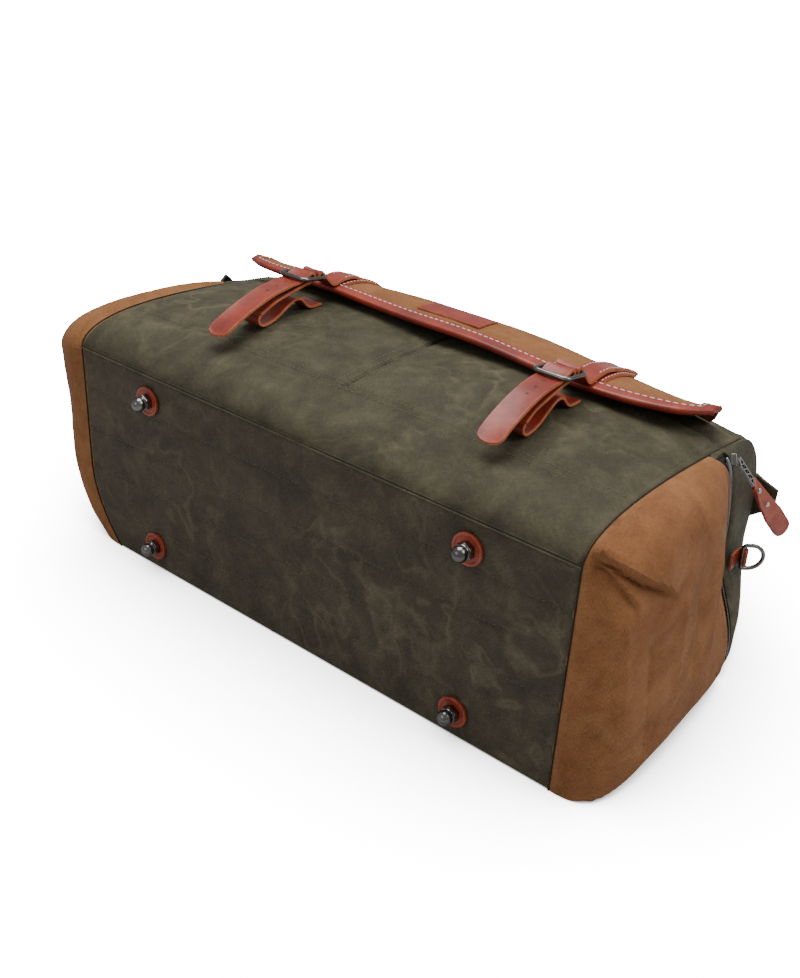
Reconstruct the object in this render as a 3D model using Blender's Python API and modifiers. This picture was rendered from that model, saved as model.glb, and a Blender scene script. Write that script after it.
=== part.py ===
"""Weekender bag in waxed canvas and leather, lying on its back panel.

Metres, +Z up. +X runs along the bag's length, -Y is the side with the feet (the
bag's base) and +Y its top. The origin is on the floor, at the middle of the back
panel. Sections of the bag are written as (h, z): h is the distance above the base.
"""
import math

import bmesh
import bpy
from mathutils import Matrix, Vector
from mathutils.geometry import interpolate_bezier

# Driving dimensions
HALF = 0.250            # half the length between the end seams
BACK_MID = 0.145        # height of the back panel's middle above the base
BASE_T = 0.186          # the bag's thickness at its base
BASE_LEAN = 0.0127      # how far the base's front edge leans towards the top
FRONT_SWELL = 0.0345    # how far the front swells above the base's front edge
SHOULDER_H = 0.265      # front and back shoulders at mid length
SHOULDER_Z = 0.192
END_SHOULDER_H = 0.238  # the same at the end seams
END_SHOULDER_Z = 0.181
BACK_SHOULDER_Z = 0.018
RIDGE_H = 0.285         # height of the main zip above the base
RIDGE_Z = 0.105
TOP_FRONT_Z = 0.165     # where the top's curve is fullest, before and behind the zip
TOP_BACK_Z = 0.048
BACK_ROUND = 0.070      # length of the round between the back shoulder and the back panel
FRONT_TURN = 0.009      # how quickly the front turns up from the base
BULGE = 0.046           # how far an end stands out past its seam
BULGE_POWER = 3.5       # how boxy an end is
BULGE_TAPER = 0.85      # share of the bulge lost towards the top, off the floor
TAPER_H = 0.125         # where that loss begins, and the height over which it comes
TAPER_RUN = 0.110
TAPER_Z = 0.080
BULGE_CENTRE = (0.12, 0.035)
WALL = 0.0025           # canvas with its lining
GAP = 0.0003            # clearance between touching pieces
SEAM_GAP = 0.0005       # clearance between sewn panels
SPLIT_CENTRE = (0.12, 0.10)

BOARD_T = 0.003
BOARD_MARGIN = 0.014
FOOT_X = 0.1646
FOOT_SPAN = 0.0702      # half the spacing of the feet across the base
FOOT_R = 0.0070
FOOT_HEIGHT = 0.0135
SHANK_R = 0.0025
WASHER_R = 0.01265
WASHER_T = 0.0026

ARCH_R = 0.108          # end zip: radius and centre of its arch
ARCH_H = 0.123
ARCH_Z = 0.0985
ARCH_FOOT = 0.062       # where the arch opens out into the pocket's full width
ZIP_W = 0.009           # width of a zip's chain
ZIP_DEPTH = 0.0065      # depth of an end zip's chain and tape
ARCH_SEAT = 46.0        # degrees from the arch's top to where its plane meets the end
ARCH_END = 52.0         # degrees from the arch's top to the closed slider
ZIP_RUN = 52.0          # degrees that an end slider runs from there
SLIDER_LIFT = 0.0010    # height of an end slider over the plane of its zip's arch
SLIDER_LEN = 0.011
SLIDER_W = 0.0085
SLIDER_T = 0.0040
PULL_LEN = 0.040        # metal frame of an end zip's pull
PULL_W = 0.0085
PULL_T = 0.0018
LEATHER_PULL_LEN = 0.068
LEATHER_PULL_W = 0.016

POCKET_LOW = 0.066      # front pocket, from its sewn foot to its mouth
POCKET_HIGH = 0.205
POCKET_HALF = 0.247
POCKET_T = 0.0016
POCKET_ROOM = 0.0060    # how far an empty pocket stands off the front

FLAP_HALF = 0.245       # half the flap's length at its edge, and at its root
FLAP_ROOT_HALF = 0.224
FLAP_SEAM = 0.003       # how far below the shoulder the flap is sewn on
FLAP_EDGE_H = 0.1815    # where the flap's edge lies at mid length, and at its corners
FLAP_CORNER_H = 0.2065
FLAP_TILT = 0.055       # how far the edge falls from left to right, per metre
FLAP_EDGE_Z = 0.2185
FLAP_EDGE_DROP = 0.007
FLAP_LIFT = 0.0180      # how far the flap stands up from its root, at mid length and its ends
FLAP_END_LIFT = 0.0130
FLAP_EDGE_LIFT = 0.0040
FLAP_T = 0.0024
BINDING_W = 0.012
BINDING_T = 0.0014
PATCH_W = 0.066
PATCH_L = 0.030

STRAP_X = 0.135         # half the spacing of the two straps, and how far both sit to the right
STRAP_SHIFT = 0.009
STRAP_W = 0.0215
STRAP_T = 0.0024
STRAP_ROOM = 0.0016     # between a strap's two layers
STRAP_TIP_H = 0.0545    # where a strap's tip ends
BUCKLE_W = 0.0290       # between the middles of the side bars
BUCKLE_WIRE = 0.0016
BUCKLE_FAR = (0.157, 0.2360)
BUCKLE_MIDDLE = (0.1445, 0.2385)
BUCKLE_NEAR = (0.131, 0.2415)
LEFT_BUCKLE_UP = 0.015  # how much higher the left buckle sits, and the root of its strap
LEFT_ROOT_UP = 0.010

HANDLE_R = 0.0070
HANDLE_DROP = 0.115
HANDLE_SLANT = 38.0     # the front handle hangs out over the main zip
HANDLE_CLEAR = 0.044
FRONT_HANDLE_X = 0.080
BACK_HANDLE_X = 0.106
FRONT_TAB_Z = 0.155     # where the handles' tabs sit on the top
BACK_TAB_Z = 0.052
TAB_W = 0.017
TAB_T = 0.0022
RING_R = 0.0110         # half a handle ring's length, and half its width
RING_HALF = 0.0140
RING_CORNER = 0.0045
RING_WIRE = 0.0017
TAB_LEN = 0.020

D_RING_DROP = 0.035     # shoulder strap ring on each end, below the main zip
D_RING_H = RIDGE_H - D_RING_DROP
D_RING_Z = 0.072
D_RING_W = 0.022
D_RING_WIRE = 0.0018

EAR_LEN = 0.020
EAR_H = 0.026
EAR_T = 0.0030

GREEN = (0.095, 0.088, 0.058)
DARK_GREEN = (0.060, 0.053, 0.038)
TAN = (0.36, 0.19, 0.09)
RED_LEATHER = (0.38, 0.060, 0.030)
GUNMETAL = (0.20, 0.19, 0.18)
BOARD = (0.05, 0.05, 0.05)
TAPE = (0.03, 0.03, 0.028)


def new_collection(name):
    made = bpy.data.collections.new(name)
    bpy.context.scene.collection.children.link(made)
    return made


def material(name, colour, roughness, metallic=0.0):
    made = bpy.data.materials.new(name)
    made.use_nodes = True
    shader = made.node_tree.nodes["Principled BSDF"]
    shader.inputs["Base Color"].default_value = (*colour, 1.0)
    shader.inputs["Roughness"].default_value = roughness
    shader.inputs["Metallic"].default_value = metallic
    return made


for old in list(bpy.data.objects):
    bpy.data.objects.remove(old)
BAG = new_collection("weekender_bag")
CUTTERS = new_collection("cutters")


def lerp(a, b, t):
    return a + (b - a) * t


def smooth(t):
    t = min(max(t, 0.0), 1.0)
    return t * t * (3.0 - 2.0 * t)


def to_world(x, h, z):
    """A point given by its length, height above the base and thickness."""
    return Vector((x, h - BACK_MID, z))


def add_object(name, mesh, finish=None, collection=None):
    made = bpy.data.objects.new(name, mesh)
    (collection or BAG).objects.link(made)
    if finish:
        colour, roughness, metallic = finish
        mesh.materials.append(material(name, colour, roughness, metallic))
    return made


def add_bmesh(name, bm, finish=None, collection=None):
    mesh = bpy.data.meshes.new(name)
    bmesh.ops.remove_doubles(bm, verts=bm.verts, dist=0.000001)
    bmesh.ops.recalc_face_normals(bm, faces=bm.faces)
    bm.to_mesh(mesh)
    bm.free()
    return add_object(name, mesh, finish, collection)


def make_cutter(made):
    made.hide_render = True
    made.display_type = "WIRE"
    return made


def boolean(made, other, operation):
    step = made.modifiers.new(operation.lower(), "BOOLEAN")
    step.operation = operation
    step.solver = "EXACT"
    step.object = other
    return step


def solidify(made, thickness, offset):
    step = made.modifiers.new("thickness", "SOLIDIFY")
    step.thickness = thickness
    step.offset = offset
    step.use_even_offset = True
    return step


def round_edges(made, width, segments=2):
    step = made.modifiers.new("round_edges", "BEVEL")
    step.width = width
    step.segments = segments
    step.limit_method = "ANGLE"
    return step


def loft(rings, close_ring, cap_ends=False):
    """A surface through rings of points, each ring with as many points."""
    bm = bmesh.new()
    rows = [[bm.verts.new(p) for p in ring] for ring in rings]
    count = len(rows[0])
    for low, high in zip(rows, rows[1:]):
        for k in range(count if close_ring else count - 1):
            n = (k + 1) % count
            bm.faces.new((low[k], low[n], high[n], high[k]))
    if cap_ends:
        bm.faces.new(rows[0])
        bm.faces.new(rows[-1])
    return bm


def prism(outline, direction):
    """A closed solid: a flat outline drawn out along a direction."""
    bm = bmesh.new()
    face = bm.faces.new([bm.verts.new(p) for p in outline])
    drawn = bmesh.ops.extrude_face_region(bm, geom=[face])
    moved = [v for v in drawn["geom"] if isinstance(v, bmesh.types.BMVert)]
    bmesh.ops.translate(bm, verts=moved, vec=direction)
    return bm


def block(name, size, finish, centre=(0, 0, 0), bevel=0.0006):
    bm = bmesh.new()
    bmesh.ops.create_cube(bm, size=1.0)
    bmesh.ops.scale(bm, vec=size, verts=bm.verts)
    bmesh.ops.translate(bm, vec=centre, verts=bm.verts)
    made = add_bmesh(name, bm, finish)
    round_edges(made, bevel, 1)
    return made


def curve_through(points, steps):
    """Points along a smooth line through the given points (Catmull-Rom)."""
    pts = [Vector(p) for p in points]
    ends = [2 * pts[0] - pts[1]] + pts + [2 * pts[-1] - pts[-2]]
    out = []
    for a, b, c, d in zip(ends, ends[1:], ends[2:], ends[3:]):
        out += interpolate_bezier(b, b + (c - a) / 6, c - (d - b) / 6, c, steps + 1)[:-1]
    return out + [pts[-1]]


def tube(name, points, radius, finish, closed=False, resolution=2):
    """A wire or rolled handle: a curve with a round bevel."""
    data = bpy.data.curves.new(name, "CURVE")
    data.dimensions = "3D"
    data.bevel_depth = radius
    data.bevel_resolution = resolution
    data.use_fill_caps = not closed
    line = data.splines.new("POLY")
    line.points.add(len(points) - 1)
    for point, place in zip(line.points, points):
        point.co = (*place, 1.0)
    line.use_cyclic_u = closed
    return add_object(name, data, finish)


def as_mesh(made):
    """The same object as a closed mesh, ready to be cut or joined."""
    ready = made.evaluated_get(bpy.context.evaluated_depsgraph_get())
    mesh = bpy.data.meshes.new_from_object(ready)
    mesh.name = made.name
    bm = bmesh.new()
    bm.from_mesh(mesh)
    bmesh.ops.remove_doubles(bm, verts=bm.verts, dist=0.00001)
    bm.to_mesh(mesh)
    bm.free()
    name = made.name
    matrix = made.matrix_world.copy()
    bpy.data.objects.remove(made)
    result = add_object(name, mesh)
    result.matrix_world = matrix
    return result


def ribbon(name, path, width, thickness, finish, x=0.0, round_tip=False):
    """A strap: a strip along a path of (h, z) points, given its thickness."""
    run = [0.0]
    for a, b in zip(path, path[1:]):
        run.append(run[-1] + (b - a).length)
    rings = []
    for point, gone in zip(path, run):
        half = width / 2
        left = run[-1] - gone
        if round_tip and left < half:
            half *= math.sqrt(max(1.0 - (1.0 - left / half) ** 2, 0.09))
        rings.append([to_world(x - half, *point), to_world(x, *point), to_world(x + half, *point)])
    made = add_bmesh(name, loft(rings, False), finish)
    solidify(made, thickness, 0.0)
    return made


def on_path(points, steps=4):
    return [v.xy for v in curve_through([(h, z, 0.0) for h, z in points], steps)]


# The bag's form
def front_ends(x):
    """The front's start at the base and its end at the shoulder, at a length."""
    share = min((x / HALF) ** 2, 1.0)
    shoulder = (lerp(SHOULDER_H, END_SHOULDER_H, share), lerp(SHOULDER_Z, END_SHOULDER_Z, share))
    return (BASE_LEAN, BASE_T), shoulder, share


def front_curve(x):
    start, shoulder, share = front_ends(x)
    swell = BASE_T + FRONT_SWELL
    first = (BASE_LEAN + FRONT_TURN, swell)
    second = (lerp(0.64, 0.62, share) * shoulder[0], lerp(swell - 0.0155, swell - 0.022, share))
    return start, first, second, shoulder


def arc_points(a, b, c, d, count):
    flat = [Vector((p[0], p[1], 0.0)) for p in (a, b, c, d)]
    return [v.xy for v in interpolate_bezier(*flat, count)]


def section(x):
    """The bag's outline at a length, from the base's back edge round the front."""
    corner = (0.0, 0.0)
    start, first, second, shoulder = front_curve(x)
    base = [Vector(corner).lerp(Vector(start), t / 4) for t in range(4)]
    front = arc_points(start, first, second, shoulder, 11)[:-1]
    back_shoulder = (shoulder[0], BACK_SHOULDER_Z)
    reach = (8 * RIDGE_H - shoulder[0] - back_shoulder[0]) / 6
    top = arc_points(shoulder, (reach, TOP_FRONT_Z), (reach, TOP_BACK_Z), back_shoulder, 13)[:-1]
    floor = back_shoulder[0] - BACK_ROUND
    early, late = floor + 0.69 * BACK_ROUND, floor + 0.43 * BACK_ROUND
    back = arc_points(back_shoulder, (early, 0.0), (late, 0.0), (floor, 0.0), 5)[:-1]
    flat = [Vector((floor * (1 - t / 4), 0.0)) for t in range(4)]
    return base + front + top + back + flat


def end_bulge(share, h, z):
    return BULGE * share * (1.0 - BULGE_TAPER * smooth((h - TAPER_H) / TAPER_RUN) * smooth(z / TAPER_Z))


def end_ring(side, share):
    """One ring of an end, a share of the way out from the seam."""
    shrink = (1.0 - share ** BULGE_POWER) ** (1.0 / BULGE_POWER)
    middle = Vector(BULGE_CENTRE)
    ring = []
    for point in section(HALF):
        h, z = middle.lerp(Vector(point), shrink)
        ring.append(to_world(side * (HALF + end_bulge(share, h, z)), h, z))
    return ring


def end_surface(h, z):
    """How far out an end reaches at a height and thickness, from its own formula."""
    middle = Vector(BULGE_CENTRE)
    way = Vector((h, z)) - middle
    outline = section(HALF)
    best = 0.0
    for a, b in zip(outline, outline[1:] + outline[:1]):
        p, q = a - middle, b - middle
        cross = p.x * q.y - p.y * q.x
        s = (way.x * q.y - way.y * q.x) / cross
        t = (p.x * way.y - p.y * way.x) / cross
        if s >= -1e-9 and t >= -1e-9:
            best = s + t
    share = max(1.0 - best ** BULGE_POWER, 0.0) ** (1.0 / BULGE_POWER)
    return HALF + end_bulge(share, h, z)


SHARES = (0.9996, 0.993, 0.97, 0.90, 0.78, 0.60, 0.35)
STATIONS = [HALF * k / 4 for k in range(-4, 5)]


def body_form(name, thickness):
    """The bag's skin: sections along its length, closed by a bulging end each side."""
    rings = [end_ring(-1, s) for s in SHARES]
    rings += [[to_world(x, *p) for p in section(x)] for x in STATIONS]
    rings += [end_ring(1, s) for s in reversed(SHARES)]
    bm = loft(rings, True, cap_ends=True)
    made = make_cutter(add_bmesh(name, bm, None, CUTTERS))
    solidify(made, thickness, -1.0)
    return made


FORM = body_form("body_form", WALL)
ZIP_FORM = body_form("zip_form", ZIP_DEPTH)
FAR = 0.5


def wedge(name, first, last, low, high, finish):
    """A panel: the part of the skin between two lines seen from the split centre."""
    centre = Vector(SPLIT_CENTRE)
    a = (Vector(first) - centre).normalized()
    b = (Vector(last) - centre).normalized()
    bisector = (a + b).normalized()
    half_angle = a.angle(b) / 2
    apex = centre + bisector * (SEAM_GAP / 2 / math.sin(half_angle))
    reach = FAR / math.cos(half_angle)
    outline = [apex, apex + a * FAR, apex + bisector * reach, apex + b * FAR]
    points = [to_world(low, *p) for p in outline]
    made = add_bmesh(name, prism(points, (high - low, 0, 0)), finish)
    boolean(made, FORM, "INTERSECT")
    return made


CANVAS = (GREEN, 0.75, 0.0)
BASE_CANVAS = (DARK_GREEN, 0.80, 0.0)
TAN_CANVAS = (TAN, 0.85, 0.0)
LEATHER = (RED_LEATHER, 0.45, 0.0)
METAL = (GUNMETAL, 0.30, 1.0)
DARK_TAPE = (TAPE, 0.70, 0.2)
ZIP_HALF = ZIP_W / 2
LIP_END = HALF - SEAM_GAP / 2


def body_panels():
    back_edge = (0.0, 0.0)
    front_edge = (BASE_LEAN, BASE_T)
    shoulder = (SHOULDER_H, SHOULDER_Z)
    back_shoulder = (SHOULDER_H, BACK_SHOULDER_Z)
    ridge_front = (RIDGE_H, RIDGE_Z + ZIP_HALF)
    ridge_back = (RIDGE_H, RIDGE_Z - ZIP_HALF)
    bottom = wedge("bottom_panel", back_edge, front_edge, -LIP_END, LIP_END, BASE_CANVAS)
    wedge("front_panel", front_edge, shoulder, -LIP_END, LIP_END, CANVAS)
    wedge("front_lip", shoulder, ridge_front, -LIP_END, LIP_END, CANVAS)
    wedge("back_lip", ridge_back, back_shoulder, -LIP_END, LIP_END, CANVAS)
    wedge("back_panel", back_shoulder, back_edge, -LIP_END, LIP_END, CANVAS)
    return bottom


BOTTOM = body_panels()

# The base: board, feet and their washers
LEAN = math.atan2(BASE_LEAN, BASE_T)
BASE_TURN = Matrix.Rotation(-LEAN, 4, "X")
BASE_LEN = math.hypot(BASE_LEAN, BASE_T)


def base_place(x, up, depth):
    """A point on the base: up its face, and into the bag by a depth."""
    return to_world(x, 0.0, 0.0) + BASE_TURN @ Vector((0.0, depth, up))


def foot_places():
    for side_name, x in (("left", -FOOT_X), ("right", FOOT_X)):
        for row_name, up in (("back", BASE_LEN / 2 - FOOT_SPAN), ("front", BASE_LEN / 2 + FOOT_SPAN)):
            yield f"{row_name}_{side_name}", x, up


def turned(name, profile, finish, steps=16, collection=None):
    """A turned solid about its own Z, from a profile of (radius, height) points."""
    bm = bmesh.new()
    verts = [bm.verts.new((r, 0.0, z)) for r, z in profile]
    for a, b in zip(verts, verts[1:]):
        bm.edges.new((a, b))
    mesh = bpy.data.meshes.new(name)
    bm.to_mesh(mesh)
    bm.free()
    made = add_object(name, mesh, finish, collection)
    spin = made.modifiers.new("turn", "SCREW")
    spin.steps = steps
    spin.render_steps = steps
    spin.use_merge_vertices = True
    spin.merge_threshold = 0.00001
    return made


def set_on_base(made, x, up, depth):
    """Stand a turned piece on the base, its Z pointing out of the bag."""
    turn = BASE_TURN @ Matrix.Rotation(math.pi / 2, 4, "X")
    made.matrix_world = Matrix.Translation(base_place(x, up, depth)) @ turn
    return made


def base_pieces():
    board_len = 2 * (HALF - BOARD_MARGIN)
    board_high = BASE_LEN - 2 * BOARD_MARGIN
    board = block("base_board", (board_len, BOARD_T, board_high), (BOARD, 0.6, 0.0), bevel=0.0005)
    inside = WALL + GAP
    board.matrix_world = Matrix.Translation(base_place(0.0, BASE_LEN / 2, inside + BOARD_T / 2)) @ BASE_TURN
    depth = inside + BOARD_T
    for name, x, up in foot_places():
        hole = SHANK_R + GAP
        bit = [(0, 0.02), (hole, 0.02), (hole, -0.02), (0, -0.02)]
        drill = turned("drill_" + name, bit, None, 12, CUTTERS)
        set_on_base(make_cutter(drill), x, up, 0.0)
        boolean(BOTTOM, drill, "DIFFERENCE")
        boolean(board, drill, "DIFFERENCE")
        washer = [(hole, WASHER_T), (WASHER_R - 0.0008, WASHER_T), (WASHER_R, WASHER_T - 0.0008),
                  (WASHER_R, 0.0), (hole, 0.0), (hole, WASHER_T)]
        set_on_base(turned("washer_" + name, washer, LEATHER, 24), x, up, -GAP)
        seat = WASHER_T + GAP
        top = seat + FOOT_HEIGHT
        dome = [(FOOT_R * 0.86 * math.sin(a), top - 0.0045 + 0.0045 * math.cos(a))
                for a in (math.radians(t) for t in (0, 20, 40, 60, 80, 95))]
        foot = dome + [(FOOT_R * 0.80, seat + 0.0055), (FOOT_R, seat + 0.0045), (FOOT_R, seat),
                       (SHANK_R, seat), (SHANK_R, -depth), (0.0, -depth)]
        set_on_base(turned("foot_" + name, foot, METAL, 16), x, up, -GAP)


base_pieces()

# The ends: tan pocket, zip and green gusset


def arch_axis(side):
    """The end zip's circle: its middle and the axis that its slider turns about."""
    points = []
    for angle in (-ARCH_SEAT, 0.0, ARCH_SEAT):
        h = ARCH_H + ARCH_R * math.cos(math.radians(angle))
        z = ARCH_Z + ARCH_R * math.sin(math.radians(angle))
        points.append(to_world(side * end_surface(h, z), h, z))
    back, top, front = points
    across = (front - back).normalized()
    up = top - (front + back) / 2
    up = (up - across * up.dot(across)).normalized()
    axis = side * up.cross(across)
    return top - up * ARCH_R, axis, up, across


def arch_place(side, angle, radius, out):
    """A point by the end zip: an angle from the arch's top, a radius and a height."""
    middle, axis, up, across = arch_axis(side)
    turn = math.radians(angle)
    return middle + radius * (math.cos(turn) * up + math.sin(turn) * across) + out * axis


ARCH_REACH = 0.25       # how far an arch's cutters reach to each side of its plane


def arch_block(name, side, radius, only_arch=False):
    """A cutter: the arched shape of an end pocket, drawn through the end."""
    end = math.acos(ARCH_FOOT / radius)
    turns = [end * (k / 12 - 1) for k in range(25)]
    outline = [(radius * math.cos(a), radius * math.sin(a)) for a in turns]
    if not only_arch:
        outline += [(ARCH_FOOT, FAR), (-FAR, FAR), (-FAR, -FAR), (ARCH_FOOT, -FAR)]
    middle, axis, up, across = arch_axis(side)
    points = [middle + up * u + across * v - axis * ARCH_REACH for u, v in outline]
    return make_cutter(add_bmesh(name, prism(points, axis * 2 * ARCH_REACH), None, CUTTERS))


def slider_channel(name, side):
    """A cutter: the room in which an end zip's slider runs along its chain."""
    first, last = ARCH_END + 8.0, ARCH_END - ZIP_RUN - 8.0
    angles = [lerp(first, last, k / 12) for k in range(13)]
    wide = ZIP_HALF + SEAM_GAP
    low = SLIDER_LIFT - GAP
    points = [arch_place(side, a, ARCH_R + wide, low) for a in angles]
    points += [arch_place(side, a, ARCH_R - wide, low) for a in reversed(angles)]
    axis = arch_axis(side)[1]
    return make_cutter(add_bmesh(name, prism(points, axis * 0.05), None, CUTTERS))


def end_box(name, side, finish, form=FORM):
    low = side * (HALF + SEAM_GAP / 2)
    corners = ((-0.1, -0.1), (0.4, -0.1), (0.4, 0.3), (-0.1, 0.3))
    outline = [to_world(low, *corner) for corner in corners]
    made = add_bmesh(name, prism(outline, (side * 0.1, 0, 0)), finish)
    boolean(made, form, "INTERSECT")
    return made


SIDES = (("left", -1), ("right", 1))


def end_pieces(name, side):
    inner = arch_block(name + "_arch_inner", side, ARCH_R - ZIP_HALF - SEAM_GAP)
    chain_in = arch_block(name + "_arch_chain_in", side, ARCH_R - ZIP_HALF)
    chain_out = arch_block(name + "_arch_chain_out", side, ARCH_R + ZIP_HALF, True)
    outer = arch_block(name + "_arch_outer", side, ARCH_R + ZIP_HALF + SEAM_GAP)
    pocket = end_box(name + "_end_pocket", side, TAN_CANVAS)
    boolean(pocket, inner, "INTERSECT")
    chain = end_box(name + "_end_zip", side, DARK_TAPE, ZIP_FORM)
    boolean(chain, chain_out, "INTERSECT")
    boolean(chain, chain_in, "DIFFERENCE")
    boolean(chain, slider_channel(name + "_slider_channel", side), "DIFFERENCE")
    gusset = end_box(name + "_end_gusset", side, CANVAS)
    boolean(gusset, outer, "DIFFERENCE")
    return (pocket, TAN_CANVAS), (chain, DARK_TAPE), (gusset, CANVAS)


def mirrored(name, made, finish):
    """The same piece for the other end."""
    ready = made.evaluated_get(bpy.context.evaluated_depsgraph_get())
    bm = bmesh.new()
    bm.from_mesh(ready.to_mesh())
    bmesh.ops.scale(bm, vec=(-1, 1, 1), verts=bm.verts)
    bmesh.ops.reverse_faces(bm, faces=bm.faces)
    return add_bmesh(name, bm, finish)


for PIECE, FINISH in end_pieces("right", 1):
    mirrored(PIECE.name.replace("right", "left"), PIECE, FINISH)


def pivot(name, place, *pieces):
    """An empty on a joint's axis, which carries the pieces that turn or slide there."""
    empty = bpy.data.objects.new(name, None)
    BAG.objects.link(empty)
    empty.location = place
    bpy.context.view_layer.update()
    for piece in pieces:
        piece.parent = empty
        piece.matrix_parent_inverse = empty.matrix_world.inverted()
    return empty


# The front pocket, in two halves beside its middle seam
def front_height(x, h):
    """The front's thickness above the floor at a length and height."""
    line = arc_points(*front_curve(x), 49)
    for a, b in zip(line, line[1:]):
        if a.x <= h <= b.x:
            return lerp(a.y, b.y, (h - a.x) / (b.x - a.x))
    return line[-1].y


POCKET_SEAT = 0.0007    # stand-off where the pocket is sewn down


def pocket_point(side, across, up):
    """A point of the pocket: across from the middle seam, up from the sewn foot."""
    x = side * lerp(SEAM_GAP, POCKET_HALF, across)
    h = lerp(POCKET_LOW, POCKET_HIGH, up)
    room = POCKET_ROOM * math.sin(math.pi * across) ** 0.6 * smooth(up / 0.45)
    return to_world(x, h, front_height(x, h) + POCKET_SEAT + POCKET_T / 2 + room)


def front_pocket(name, side):
    rows = [[pocket_point(side, a / 8, u / 9) for a in range(9)] for u in range(10)]
    made = add_bmesh(name, loft(rows, False), CANVAS)
    solidify(made, POCKET_T, 0.0)


# The flap
def flap_root(x):
    """Where the flap is sewn on, along the front's shoulder."""
    h = front_ends(x)[1][0] - FLAP_SEAM
    return Vector((h, front_height(x, h) + SEAM_GAP + FLAP_T / 2))


def flap_point(u, v, lift=0.0):
    """A point over the flap: u from end to end (-1 to 1), v from root to edge."""
    root = flap_root(u * FLAP_ROOT_HALF)
    edge_h = lerp(FLAP_EDGE_H - FLAP_TILT * u * FLAP_HALF, FLAP_CORNER_H, abs(u) ** 6)
    edge = Vector((edge_h, FLAP_EDGE_Z - FLAP_EDGE_DROP * u * u))
    reach = root.x - edge.x
    first = root + Vector((-0.20 * reach, lerp(FLAP_LIFT, FLAP_END_LIFT, u * u)))
    second = edge + Vector((0.35 * reach, FLAP_EDGE_LIFT))
    line = arc_points(root, first, second, edge, 41)
    k = round(v * 40)
    along = (line[min(k + 1, 40)] - line[max(k - 1, 0)]).normalized()
    h, z = line[k] + lift * Vector((along.y, -along.x))
    return to_world(u * lerp(FLAP_ROOT_HALF, FLAP_HALF, v), h, z)


BINDING_LIFT = FLAP_T / 2 + 2 * GAP + BINDING_T / 2


def flap_pieces():
    du = BINDING_W / FLAP_HALF
    length = flap_root(0.0).x - FLAP_EDGE_H
    dv = round(40 * BINDING_W / length) / 40
    inner = [(1 - du) * k / 7 for k in range(-7, 8)]
    across = [-1, *inner, 1]
    down = [0.0, 0.2, 0.4, 0.6, 1 - dv, 1.0]
    rows = [[flap_point(u, v) for u in across] for v in down]
    flap = add_bmesh("flap", loft(rows, False), TAN_CANVAS)
    solidify(flap, FLAP_T, 0.0)
    rails = [((-1, v), (-1 + du, v)) for v in down[1:-1]]
    rails += [((-1, 1), (-1 + du, 1 - dv))]
    rails += [((u, 1), (u, 1 - dv)) for u in inner]
    rails += [((1, 1), (1 - du, 1 - dv))]
    rails += [((1, v), (1 - du, v)) for v in reversed(down[1:-1])]
    strip = [[flap_point(*out, BINDING_LIFT), flap_point(*far, BINDING_LIFT)] for out, far in rails]
    binding = add_bmesh("flap_binding", loft(strip, False), LEATHER)
    solidify(binding, BINDING_T, 0.0)
    low_v = 1 - dv - 0.03
    high_v = low_v - PATCH_L / length
    reach = PATCH_W / 2 / FLAP_HALF
    rows = [[flap_point(reach * a / 3, lerp(high_v, low_v, k / 4), BINDING_LIFT) for a in range(-3, 4)]
            for k in range(5)]
    patch = add_bmesh("flap_patch", loft(rows, False), LEATHER)
    solidify(patch, BINDING_T, 0.0)
    return [flap, binding, patch]


def circle_points(centre, radius, angles):
    return [(centre[0] + radius * math.cos(math.radians(a)), centre[1] + radius * math.sin(math.radians(a)))
            for a in angles]


LOOP_R = BUCKLE_WIRE + GAP + STRAP_T / 2
STRAP_CLEAR = 0.0014    # between a strap and the flap under it


def buckle_bars(side):
    """The buckle's far, middle and near bar, as (h, z)."""
    up = Vector((LEFT_BUCKLE_UP if side < 0 else 0.0, 0.0))
    return [Vector(bar) + up for bar in (BUCKLE_FAR, BUCKLE_MIDDLE, BUCKLE_NEAR)]


def flap_strap(name, x, far):
    """The strap sewn over the flap, looped round the buckle's far bar."""
    on_flap = []
    for v in (0.12, 0.3, 0.5, 0.7, 0.85, 1.0):
        u = x / lerp(FLAP_ROOT_HALF, FLAP_HALF, v)
        lift = FLAP_T / 2 + STRAP_CLEAR + STRAP_T / 2 + (BINDING_T + 2 * GAP) * smooth((v - 0.5) / 0.2)
        point = flap_point(u, v, lift)
        on_flap.append((point.y + BACK_MID, point.z))
    climb = [(lerp(on_flap[-1][0], far.x, 0.45), lerp(on_flap[-1][1], far.y, 0.5))]
    loop = circle_points(far, LOOP_R, (50, 90, 135, 180, 225, 270))
    return ribbon(name, on_path(on_flap + climb + loop, 2), STRAP_W - 0.0015, STRAP_T, LEATHER, x)


def buckle(name, x, far, middle, near):
    """A wire frame with a middle bar."""
    half = BUCKLE_W / 2
    length = (near - far).length
    corner = 0.0045

    def frame_point(across, along):
        return to_world(x + across, *far.lerp(near, along / length))

    points = [frame_point(u, length / 2 + v) for u, v in round_rectangle(half, length / 2, corner)]
    frame = as_mesh(tube(name, points, BUCKLE_WIRE, METAL, closed=True))
    bar = tube(name + "_bar", [to_world(x - half, *middle), to_world(x + half, *middle)],
               BUCKLE_WIRE - 0.0002, METAL)
    bar = as_mesh(bar)
    BAG.objects.unlink(bar)
    CUTTERS.objects.link(bar)
    boolean(frame, make_cutter(bar), "UNION")
    return frame


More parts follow.
